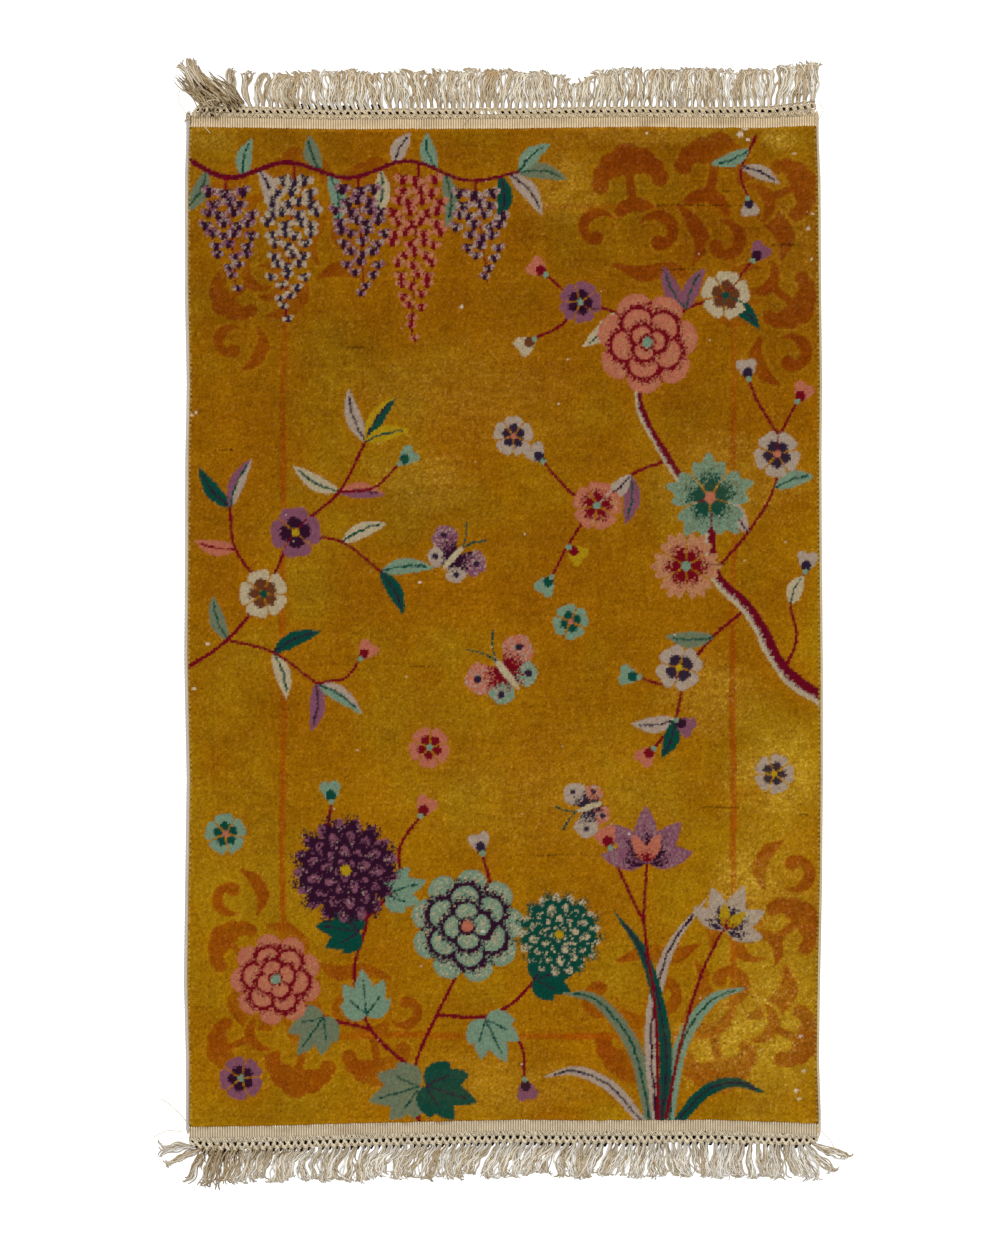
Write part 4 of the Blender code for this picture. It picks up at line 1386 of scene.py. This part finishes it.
class Net:
    """The knotted net of one cotton end, gathered from its sets of strands."""

    def __init__(self, plan):
        self.plan, self.end = plan, plan.end
        self.rng = np.random.default_rng(plan.end.seed)
        self.hole, self.knot = plan.end.hole_mm * MM, plan.end.knot_mm * MM
        self.groups = []

    def add(self, paths, radius, base=None, spread=0.13, axis=UPWARDS):
        """A set of strands, narrower at their ends, each dyed a little unlike the next."""
        base = self.end.knots * self.end.yarn if base is None else base
        radii = np.full(paths.shape[:2], radius)
        radii[:, [0, -1]] *= 0.7
        part = tubes(paths, radii, axis)
        tone = 1 + spread * self.rng.normal(0, 1, (len(paths), 1, 1))
        dye = np.broadcast_to(base * tone, (*paths.shape[:2], 3))
        # Painted shade on the net's strands, low down and on their flanks
        self.groups.append((part, strand_dye_with_shade(dye, part, 0.4 * MM, 3.6 * MM, 0.66, 0.74)))

    def twist(self, kind, starts, ends, bow=0.0, base=None):
        """Twisted lines from (x, out) places to others, bowed sideways by an amount."""
        lines = humped_lines(self.plan, starts, ends, kind.steps, kind.low_mm * MM, kind.high_mm * MM)
        lines[:, :, 0] += np.sin(math.pi * np.linspace(0, 1, kind.steps))[None, :] * bow
        phase = self.rng.uniform(0, math.tau, len(lines))
        plies = twisted(lines, kind.winding_mm * MM, kind.turns, phase, kind.plies)
        self.add(plies, kind.radius_mm * MM, base)

    def spots(self):
        """A small shift for each lock."""
        return self.rng.normal(0, 0.25 * MM, LOCKS)

    def long_cords(self):
        """Cords that run the whole width and bind the stitches."""
        plan, web = self.plan, self.plan.web_out
        outs = [web + 1.4 * MM, web + 3.8 * MM, self.knot + 0.9 * MM]
        if self.end.sign < 0:
            outs.append(self.hole + 4.4 * MM)
        x = np.linspace(plan.left, plan.right, 4 * LOCKS + 1)
        turn = math.tau * np.arange(len(x)) / 4
        for out in outs:
            z = 1.3 * MM + 0.3 * MM * np.cos(turn)
            path = np.stack((*plan.place(x, out + 0.35 * MM * np.sin(turn)), z), -1)
            self.add(path[None], LONG_CORD_RADIUS, 0.86 * self.end.yarn)

    def stitches(self):
        """Slanting stitches beside the web, four to a lock."""
        plan, end = self.plan, self.end
        slant = 0.24 * plan.pitch * end.sign
        base = (0.93 + 0.03 * end.sign) * end.knots * end.yarn
        for step in (-0.375, -0.125, 0.125, 0.375):
            middle = plan.lock_x + step * plan.pitch + self.spots()
            self.twist(STITCH, (middle + slant, plan.web_out - 0.2 * MM),
                       (middle - slant, self.hole - 2.2 * MM), base=base)

    def legs(self):
        """A twisted leg on each side of each hole, from between two locks to the knot."""
        for side, corner in ((-1, self.plan.between_x[:-1]), (1, self.plan.between_x[1:])):
            start = corner - side * 0.9 * MM + self.spots(), self.hole - 3.0 * MM
            end = self.plan.lock_x + side * 0.9 * MM, self.knot + 0.6 * MM
            self.twist(LEG, start, end, side * 1.3 * MM)

    def wraps(self):
        """Three turns of yarn over each knot."""
        arch = (np.linspace(-0.12, 1.12, 9) * math.pi)[None, :]
        for step in (-1.2, 0.4, 2.0):
            x = self.plan.lock_x[:, None] - KNOT_HALF_WIDTH * np.cos(arch) + self.spots()[:, None]
            out = self.knot + step * MM + 1.1 * MM * self.end.sign * np.cos(arch) + 0 * x
            z = 1.4 * MM + 2.5 * MM * np.sin(arch) + 0 * x
            self.add(np.stack((*self.plan.place(x, out), z), -1), WRAP_RADIUS, axis=OUTWARDS)

    def lay_painted_shade(self, x, out, shade_strands):
        """Low dark strands of painted shade that fill a row of openings, each a little unlike the
        next.
        """
        shown = self.rng.random(len(x)) > shade_strands.open_share
        level = np.full(len(x), out) + self.rng.normal(0, 0.5 * MM, len(x))
        wide = shade_strands.reach_mm * MM * self.rng.uniform(0.6, 1.15, len(x))
        height = shade_strands.height_mm * MM
        for step in shade_strands.steps_mm:
            middle = x + shade_strands.slant * step * MM
            lines = humped_lines(self.plan, (middle - wide, level + step * MM),
                                 (middle + wide, level + (step + 0.5) * MM), 3, height, height)
            self.add(lines[shown], HOLE_SHADE_RADIUS, HOLE_SHADE, 0.2)

    def fill_holes(self):
        """The holes over the knots: painted shade laid low in them, but for a few at the top, and
        single yarns that cross them.
        """
        locks, sign = self.plan.lock_x, self.end.sign
        low, high = OPEN_HOLES_ALONG
        self.lay_painted_shade(locks[(locks < low) | (locks > high) | (sign < 0)], self.hole,
                    IN_HOLES[self.end.name])
        for side in (-1, 1):
            reach = self.rng.uniform(0.7, 1.5, LOCKS) * MM
            lines = humped_lines(
                self.plan, (locks + side * 2.9 * MM, self.hole - 0.4 * side * sign * MM),
                (locks + side * reach, self.hole + 2.9 * side * sign * MM), 4, 2.2 * MM, 3.0 * MM)
            shown = self.rng.random(LOCKS) < CROSSED_SHARE[self.end.name]
            self.add(lines[shown], CROSSED_RADIUS)

    def shade_gaps(self):
        """Painted shade in the pinholes by the web, and between the locks or in the torn stretch."""
        between = self.plan.between_x
        self.lay_painted_shade(between[1:-1] + 0.6 * MM, self.plan.web_out + 2.2 * MM, IN_PINHOLES)
        if self.end.sign < 0:
            self.lay_painted_shade(between[1:-1], BETWEEN_LOCKS_OUT, BETWEEN_LOCKS)
        else:
            low, high = TEARS_ALONG
            self.lay_painted_shade(between[(between > low) & (between < high)], TEARS_OUT, IN_TEARS)


def make_net(plan):
    """The knotted net: slanting stitches by the web, legs round the holes, and wrapped knots."""
    net = Net(plan)
    net.long_cords()
    net.stitches()
    net.legs()
    net.wraps()
    net.fill_holes()
    net.shade_gaps()
    return build_strands("net_" + plan.end.name, net.groups)


# How the yarns of each fringe move: their radius, how far those of one lock part and where, how
# far locks wave, pairs sway and yarns kink, how far tips hook over, and how widely the yarns leave
# the net, as a share of a lock's pitch. Angles are in radians, and places are shares of a yarn
Kink = namedtuple("Kink", "radius_mm split parted wave sway kink hook spread")
KINKS = {
    "top": Kink(1.20, 0.62, 0.19, 0.20, 0.42, 0.32, 2.3, 0.32),
    "bottom": Kink(1.06, 0.44, 0.08, 0.26, 0.46, 0.40, 2.6, 0.40),
}
YARNS_PER_LOCK = 10
PAIR = 2
YARN_STEPS = 20

# The yarns lie matted and soiled round one place across the rug, and wavier round another
SOILED_AT = -410 * MM
SOILED_REACH = 42 * MM
WAVY_AT = -270 * MM
WAVY_REACH = 120 * MM
LEAST_REACH = 5 * MM


def each_lock(values):
    """The values of the locks, repeated for each of their yarns."""
    return np.repeat(values, YARNS_PER_LOCK)[:, None]


class Fringe:
    """The kinky yarns of one end, which leave each knot together and tangle as they run out.

    An array of values has a row for each yarn, and a column for each step along it.
    """

    def __init__(self, plan):
        self.plan, self.end, self.move = plan, plan.end, KINKS[plan.end.name]
        self.rng = np.random.default_rng(plan.end.seed + 50)
        self.lock = each_lock(plan.lock_x)
        self.matted = np.exp(-((self.lock - SOILED_AT) / SOILED_REACH) ** 2)
        self.calm = 1 - (0.75 if plan.end.sign > 0 else 0.3) * self.matted
        self.spread = 0.6 * self.each(-1, 1, PAIR) + 0.5 * self.each(-1, 1)
        self.level = self.each(0, 1)

    def each(self, low, high, together=1):
        """A value for each yarn, the same for the yarns that stay together."""
        count = LOCKS * YARNS_PER_LOCK // together
        return np.repeat(self.rng.uniform(low, high, count), together)[:, None]

    def angles(self, share):
        """How far the yarns lean from straight out: with their lock, and with kinks of their own."""
        each, move = self.each, self.move
        bend = self.spread * move.split * self.calm * np.exp(-((share - move.parted) / 0.10) ** 2)
        turned = each_lock(np.cumsum(self.rng.normal(0, 0.13, LOCKS)))
        waves = each_lock(self.rng.uniform(0.6, 1.1, LOCKS))
        loose = move.wave * (1 + np.exp(-((self.lock - WAVY_AT) / WAVY_REACH) ** 2))
        wave = loose * np.sin(math.tau * (waves * share + turned))
        sway = move.sway * (0.6 * each(-1, 1, PAIR) + 0.6 * each(-1, 1)) * np.sin(
            math.tau * (each(0.5, 1.1, PAIR) * share + each(0, 1, PAIR)))
        kink = move.kink * each(0.3, 1.2) * np.sin(
            math.tau * (each(1.6, 3.4, PAIR) * share + each(0, 1, PAIR) + each(-0.16, 0.16)))
        bundle = each_lock(self.rng.normal(0, 0.08, LOCKS))
        curl = np.clip((share - 0.72) / 0.28, 0, 1) ** 1.2
        hook = move.hook * np.sign(each(-1, 1, PAIR)) * each(0.35, 1.0) * curl
        swing = np.clip(share / 0.3, 0, 1) * (wave + sway + kink + bundle)
        return self.plan.lean(self.lock, share) + bend + self.calm * (hook + swing)

    def evened(self, out):
        """Yarns brought nearer to the usual reach of their lock, but for the matted ones."""
        reach = np.maximum(out.max(1, keepdims=True), LEAST_REACH)
        usual = each_lock(reach.reshape(LOCKS, -1).mean(1))
        return out * np.clip(usual / reach, 0.8, 1.25) ** (0.5 * (1 - self.matted))

    def heights(self, share):
        """The yarns lie over and under one another, and sink towards their tips."""
        tall = np.interp(share, (0.0, 0.10, 0.5, 0.85, 1.0), (1.6, 2.4, 2.8, 2.3, 1.2)) * MM
        lift = 0.5 + 0.5 * np.sin(math.tau * (self.each(0.8, 2.0) * share + self.each(0, 1)))
        return 1.35 * MM + 0.85 * tall * (0.65 * self.level + 0.35 * lift)

    def paths(self, share):
        """The yarns' points: the first one in the knot, and the others from the net's edge on."""
        plan, lock = self.plan, self.lock
        gathered = plan.pitch * each_lock(self.rng.uniform(0.7, 1.1, LOCKS))
        source = lock + self.spread * self.move.spread * gathered
        angle = self.angles(share[:, 1:])
        length = plan.length(lock) * self.each(0.94, 1.10, PAIR) * self.each(0.96, 1.04)
        step = length / (YARN_STEPS - 1)
        across = np.cumsum(step * np.sin(angle), 1) - step * np.sin(angle)
        out = self.evened(np.cumsum(step * np.cos(angle), 1) - step * np.cos(angle))
        foot_x, foot_y = plan.place(source, plan.net_out)
        knot_x, knot_y = plan.place(lock + 0.7 * (source - lock), (self.end.knot_mm - 0.6) * MM)
        x = np.hstack((knot_x, foot_x + across))
        y = np.hstack((knot_y, foot_y + self.end.sign * out))
        return np.stack((x, y, self.heights(share)), -1)

    def dyes(self, share):
        """Pale and dull yarns, soiled in the matted corner, tinged at the tips, with painted shade at
        the root.
        """
        each, end = self.each, self.end
        pale = np.where(each(0, 1) < 0.42, each(0.8, 1.2), each(-0.4, 0.3))[..., None]
        soil = (each(0.0, 1.0) * self.matted)[..., None]
        blush = np.clip(noise(self.lock / MM, 0 * self.lock, 24.0, 61 + end.seed) + 0.2, 0, 1)
        blush = (blush * each(0.2, 0.9) * np.clip((share - 0.55) / 0.3, 0, 1))[..., None]
        # Painted shade, darker towards the root
        root_shade = 0.26 * np.clip(1 - share / 0.42, 0, 1)[..., None]
        dye = end.dull + (end.pale - end.dull) * pale
        for amount, other in ((soil, SOILED), (blush, end.tip), (root_shade, SHADE_BROWN)):
            dye = dye + amount * (other - dye)
        return dye


def make_fringe(plan):
    """The fringe as one mesh. The first point of each yarn is in its knot, at no share yet."""
    fringe = Fringe(plan)
    share = np.hstack((0, np.linspace(0, 1, YARN_STEPS)))[None, :]
    paths = fringe.paths(share)
    thick = fringe.move.radius_mm * MM * fringe.each(0.72, 1.2)
    part = tubes(paths, thick * np.interp(share, (0, 0.9, 1), (1.15, 1.0, 0.7)))
    # Painted shade on the fringe's yarns, low down and on their flanks
    dye = strand_dye_with_shade(1.03 * fringe.dyes(share), part, 0.8 * MM, 4.0 * MM, 0.58, 0.60)
    return build_piece("fringe_" + plan.end.name, part.points, part.polygons, dye, part.uv)


# ---------------------------------------------------------------- side cords and loose threads

CORD_SIDES = 10
SideCord = namedtuple("SideCord", "name rim sign inset width outer by_pile")
SIDE_CORDS = table(
    SideCord,
    ("left", LEFT, -1, LEFT_INSET, 7.4 * MM, CORD_GREY, CORD_CREAM),
    ("right", RIGHT, 1, RIGHT_INSET, 6.0 * MM, CORD_TAN, CORD_GOLD))
CORD_STEPS_PER_WRAP = 8


def cord_dye(cord, y, inner, swell):
    """The cord's yarn, tinged by the pile on its inner side, with painted shade in the gaps between
    the turns.
    """
    tone = 1 + 0.10 * cloudy(y / MM, 0 * y, 30.0, 133 + cord.sign)
    inward = np.clip(0.10 + 0.95 * inner, 0, 1)[None, :, None]
    inward = inward * (1 - 0.8 * np.clip((np.abs(y) - 0.62) / 0.06, 0, 1))[:, None, None]
    base = (cord.outer + (cord.by_pile - cord.outer) * inward) * tone[:, None, None]
    # Painted shade in the gaps between the turns, on the side by the pile
    gap = np.clip((0.34 - swell) / 0.3, 0, 1) * np.clip(2.0 * inner - 1.0, 0, 1)[None, :]
    return (base * (1 - gap[..., None]) + TURN_GAP_SHADE * gap[..., None]).reshape(-1, 3)


def make_side_cord(cord):
    """A cord overcast with slanting turns of yarn. Inner is 1 on the side of the pile."""
    sign = cord.sign
    low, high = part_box("side_cord_" + cord.name)
    steps = round((high.y - low.y) / WRAP_PITCH) * CORD_STEPS_PER_WRAP + 1
    y = np.linspace(low.y, high.y, steps)
    edge = cord.rim(np.clip(y, -SIDE_REACH, SIDE_REACH))
    centre = edge + sign * (CORD_SHIFT * cord.width - cord.inset - CORD_OVERLAP)
    turn = math.tau * np.arange(CORD_SIDES) / CORD_SIDES
    inner = -sign * np.cos(turn)
    swell = 0.5 + 0.5 * np.cos(math.tau * y[:, None] / WRAP_PITCH + 1.2 * inner[None, :])
    from_end = np.minimum(y - low.y, high.y - y) / (high.y - low.y)
    taper = np.minimum(1, 0.25 + CORD_TAPER * from_end)
    thin = 0.90 + 0.06 * noise(y / MM, 0 * y, 60.0, 131 + sign)
    radius = (0.88 + 0.12 * swell) * (thin * taper)[:, None]
    x = centre[:, None] + radius * cord.width / 2 * np.cos(turn)[None, :]
    z = CORD_HEIGHT * CORD_RISE * (1 + radius * np.sin(turn)[None, :])
    points = np.stack((x, np.broadcast_to(y[:, None], x.shape), z), -1).reshape(-1, 3)
    index = np.arange(steps * CORD_SIDES).reshape(steps, CORD_SIDES)
    following = np.roll(index, -1, axis=1)
    wall = np.stack((index[:-1], index[1:], following[1:], following[:-1]), -1).reshape(-1, 4)
    polygons = [wall, index[0][None, :], index[-1][None, ::-1]]
    return build_piece("overcast_" + cord.name, points, polygons, cord_dye(cord, y, inner, swell),
                       cord_uv(steps))


def cord_uv(steps):
    """A long cord unrolled into strips that stand side by side in the texture."""
    strips = 32
    along, around = np.meshgrid(np.arange(steps - 1), np.arange(CORD_SIDES), indexing="ij")
    per_strip = math.ceil((steps - 1) / strips)
    strip, within = along // per_strip, along % per_strip
    u = (within[..., None] + (0, 1, 1, 0)) / per_strip
    v = (around[..., None] + (0, 0, 1, 1)) / CORD_SIDES
    v = (strip[..., None] + 0.04 + 0.92 * v) / strips
    caps = np.zeros((2 * CORD_SIDES, 2))
    return np.concatenate((np.stack((u, v), -1).reshape(-1, 2), caps))


# Single threads, through their points in millimetres
THREAD_RADIUS = 0.55 * MM
LOOSE_THREADS = (
    ((-438, 724, 6.0), (-430, 715, 9.0), (-420, 704, 9.9)),
    ((-438, 734, 3.6), (-428, 748, 5.4), (-412, 752, 6.6), (-398, 744, 6.0)),
    ((-452, -716, 3.0), (-466, -700, 3.4), (-482, -686, 2.2), (-492, -680, 1.0)),
    ((-458, -728, 3.0), (-482, -726, 3.2), (-502, -735, 1.0)),
    ((-452, 728, 3.0), (-466, 752, 3.2), (-464, 768, 1.2)),
    ((452, 724, 3.0), (458, 738, 3.8), (452, 750, 3.0)),
    ((-58, 716, 3.6), (-40, 742, 5.0), (-46, 764, 5.4), (-60, 778, 4.0)),
    ((456, -726, 3.0), (470, -742, 3.2), (478, -760, 1.0)),
)

# Yarns that have come away at the corners and lie across one another
Tangle = namedtuple("Tangle", "x_mm y_mm reach_mm angle spread length_mm bend low_mm high_mm count")
TANGLES = table(
    Tangle,
    (-402, 741, 34, 131, 6, 62, 0.15, 1.4, 3.4, 34),
    (-396, 744, 30, 134, 14, 56, 0.45, 3.2, 6.4, 40),
    (-420, 742, 14, 118, 8, 58, 0.2, 3.0, 6.0, 18), (-424, 726, 18, 48, 16, 32, -1.2, 4.0, 6.0, 6),
    (-400, 740, 24, 160, 20, 24, -1.0, 4.0, 6.2, 8), (-453, 726, 3, 60, 60, 14, 5.6, 2.0, 6.0, 16),
    (-396, -748, 34, -122, 22, 34, 0.7, 2.6, 4.4, 24),
    (-316, -748, 30, -140, 16, 34, 0.5, 2.6, 4.0, 10))
# Dark strands laid among the tangles as painted shade in their crevices
SHADOWS = table(
    Tangle,
    (-416, 758, 15, 128, 12, 20, 0.2, 6.0, 6.6, 6), (-428, 772, 12, 128, 10, 12, 0.2, 6.0, 6.4, 3),
    (-398, 746, 26, 134, 14, 7, 0.0, 6.0, 6.6, 12), (-406, 735, 28, 120, 14, 5, 0.0, 5.6, 6.0, 12),
    (-426, -752, 16, -94, 10, 16, 0.2, 2.8, 3.4, 5),
    (-386, -754, 16, -108, 14, 18, 0.2, 2.8, 3.4, 5))
TANGLE_STEPS = 12


def tangled(rng, tangle, radius):
    """Paths and radii of the yarns of one tangle, each starting somewhere near its middle."""
    count = tangle.count
    share = np.linspace(0, 1, TANGLE_STEPS)[None, :]
    apart = rng.uniform(-1, 1, (count, 1))
    angle = np.radians(tangle.angle + tangle.spread * rng.normal(0, 0.6, (count, 1)))
    angle = angle + tangle.bend * (share - 0.3) + 0.25 * np.sin(7 * share + 9 * apart)
    step = tangle.length_mm * MM * rng.uniform(0.7, 1.15, (count, 1)) / TANGLE_STEPS
    x = (tangle.x_mm + tangle.reach_mm * apart) * MM + np.cumsum(step * np.cos(angle), 1)
    y = tangle.y_mm * MM + rng.normal(0, 3 * MM, (count, 1)) + np.cumsum(step * np.sin(angle), 1)
    level = rng.uniform(tangle.low_mm, tangle.high_mm, (count, 1))
    z = level * (1 - 0.55 * np.clip((share - 0.5) / 0.5, 0, 1)) * MM
    radii = radius * rng.uniform(0.7, 1.15, (count, 1)) * np.interp(share, (0, 0.8, 1), (1, 1, 0.4))
    return np.stack((x, y, z), -1), radii


def make_loose_threads():
    """Single threads and tangled yarns that have worked loose at the corners, with dark strands of
    painted shade in the tangles.
    """
    rng = np.random.default_rng(141)
    groups = []
    for thread in LOOSE_THREADS:
        path = smooth_path(np.array(thread) * MM, 8)[None]
        part = tubes(path, np.full(path.shape[:2], THREAD_RADIUS))
        dye = np.tile(TAN * rng.uniform(0.8, 1.2), (len(part.points), 1))
        groups.append((part, dye))
    for tangles, low, high, radius in ((TANGLES, SOILED, TAN, 0.95 * MM),
                                       (SHADOWS, 0.3 * SHADE_BROWN, 1.1 * SHADE_BROWN, 1.0 * MM)):
        for tangle in tangles:
            part = tubes(*tangled(rng, tangle, radius))
            base = low + (high - low) * rng.uniform(0, 1.1, (tangle.count, 1, 1))
            base = np.broadcast_to(base, (tangle.count, TANGLE_STEPS, 3))
            # Painted shade on the tangled yarns, low down and on their flanks
            groups.append((part, strand_dye_with_shade(base, part, 0.5 * MM, 5.5 * MM, 0.40, 0.50)))
    return build_strands("loose_threads", groups)


# ---------------------------------------------------------------- materials

# Grain is how fine the fibres' noise is, and grain_share how far it lightens or darkens the dye
Finish = namedtuple("Finish", "roughness specular grain grain_share bump bump_height")
WOOL = Finish(0.95, 0.02, 640.0, 0.24, 0.45, 0.0005)
WOVEN = Finish(0.92, 0.05, 900.0, 0.18, 0.45, 0.0004)
COTTON = Finish(0.92, 0.01, 1500.0, 0.12, 0.35, 0.0003)


def set_inputs(node, values):
    """Sets a shader node's inputs by their names."""
    for name, value in values.items():
        node.inputs[name].default_value = value


def yarn_material(name, finish):
    """Yarn: the dyed colour of each knot or strand, broken up by the grain of its fibres."""
    material = bpy.data.materials.new(name)
    material.use_nodes = True
    nodes, links = material.node_tree.nodes, material.node_tree.links
    shader = nodes["Principled BSDF"]
    set_inputs(shader, {"Roughness": finish.roughness, "Specular IOR Level": finish.specular})
    dye = nodes.new("ShaderNodeAttribute")
    dye.attribute_name = "dye"
    place = nodes.new("ShaderNodeTexCoord")
    grain = nodes.new("ShaderNodeTexNoise")
    set_inputs(grain, {"Scale": finish.grain, "Detail": 3.0, "Roughness": 0.6})
    span = nodes.new("ShaderNodeMapRange")
    set_inputs(span, {"From Min": 0.3, "From Max": 0.7, "To Min": 1 - finish.grain_share,
                      "To Max": 1 + finish.grain_share})
    shaded = nodes.new("ShaderNodeVectorMath")
    shaded.operation = "MULTIPLY"
    bump = nodes.new("ShaderNodeBump")
    set_inputs(bump, {"Strength": finish.bump, "Distance": finish.bump_height})
    links.new(place.outputs["Object"], grain.inputs["Vector"])
    links.new(grain.outputs["Fac"], span.inputs["Value"])
    links.new(dye.outputs["Color"], shaded.inputs[0])
    links.new(span.outputs["Result"], shaded.inputs[1])
    links.new(shaded.outputs["Vector"], shader.inputs["Base Color"])
    links.new(grain.outputs["Fac"], bump.inputs["Height"])
    links.new(bump.outputs["Normal"], shader.inputs["Normal"])
    return material


# ---------------------------------------------------------------- stage

FLOOR_HALF = 8.0
FLOOR_DROP = 0.2 * MM
FLOOR_GLOW = 0.92
WORLD_LIGHT = 0.80
LAMP_LIGHT = 1.1
LAMP_SOFTNESS = math.radians(18)
LAMP_TURN = (math.radians(-34), math.radians(-30), 0)


def make_stage():
    """A pale floor, even studio light and a soft lamp from the upper left."""
    half = FLOOR_HALF
    points = np.array(((-half, -half), (half, -half), (half, half), (-half, half)))
    points = np.column_stack((points, np.full(4, -FLOOR_DROP)))
    floor = build_piece("floor", points, [np.array(((0, 1, 2, 3),))])
    material = bpy.data.materials.new("floor")
    material.use_nodes = True
    set_inputs(material.node_tree.nodes["Principled BSDF"], {
        "Base Color": (0.50, 0.50, 0.50, 1.0), "Roughness": 1.0, "Specular IOR Level": 0.0,
        "Emission Color": (1.0, 1.0, 1.0, 1.0), "Emission Strength": FLOOR_GLOW})
    floor.data.materials.append(material)
    world = bpy.data.worlds.new("studio")
    world.use_nodes = True
    set_inputs(world.node_tree.nodes["Background"],
               {"Color": (1.0, 1.0, 1.0, 1.0), "Strength": WORLD_LIGHT})
    bpy.context.scene.world = world
    lamp = bpy.data.lights.new("soft_lamp", "SUN")
    lamp.energy = LAMP_LIGHT
    lamp.angle = LAMP_SOFTNESS
    lamp_object = bpy.data.objects.new("soft_lamp", lamp)
    lamp_object.rotation_euler = LAMP_TURN
    bpy.context.scene.collection.objects.link(lamp_object)
    bpy.context.scene.view_settings.view_transform = "Standard"


def make_camera():
    """A long lens straight above the rug."""
    lens = bpy.data.cameras.new("above")
    lens.sensor_width = SENSOR
    lens.lens = SENSOR * CAMERA_HEIGHT / SHOWN_LONG_SIDE
    camera = bpy.data.objects.new("above", lens)
    camera.location = (CAMERA_X, CAMERA_Y, CAMERA_HEIGHT)
    bpy.context.scene.collection.objects.link(camera)
    bpy.context.scene.camera = camera


# ---------------------------------------------------------------- putting it together

def finish_piece(piece, material, slot, *nodes):
    """Gives a piece its material and its place on the part."""
    piece.data.materials.append(material)
    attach(piece, "root")
    if nodes:
        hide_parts(*nodes)
    return piece


def main():
    make_stage()
    make_camera()
    wool = yarn_material("wool_pile", WOOL)
    woven = yarn_material("woven_back", WOVEN)
    cotton = yarn_material("cotton_yarn", COTTON)

    middles_across = (np.arange(KNOTS_ACROSS) + 0.5) / KNOTS_ACROSS
    middles_along = (np.arange(KNOTS_ALONG) + 0.5) / KNOTS_ALONG
    x, y = field_grid(middles_across, middles_along)
    colour, worn, figure = dyed_knots(x / MM, y / MM)

    pile = finish_piece(make_pile(colour, worn, figure), wool, "wool_pile", "pile_field")
    others = [finish_piece(make_back(colour), woven, "wool_pile", "pile_field")]
    for end in COTTON_ENDS:
        plan = EndPlan(end)
        for make in (make_web, make_net, make_fringe):
            others.append(finish_piece(make(plan), cotton, "cotton_yarn", "cotton_end_" + end.name))
    for cord in SIDE_CORDS:
        piece = make_side_cord(cord)
        others.append(finish_piece(piece, cotton, "overcast_cord", "side_cord_" + cord.name))
    others.append(finish_piece(make_loose_threads(), cotton, "cotton_yarn"))


main()
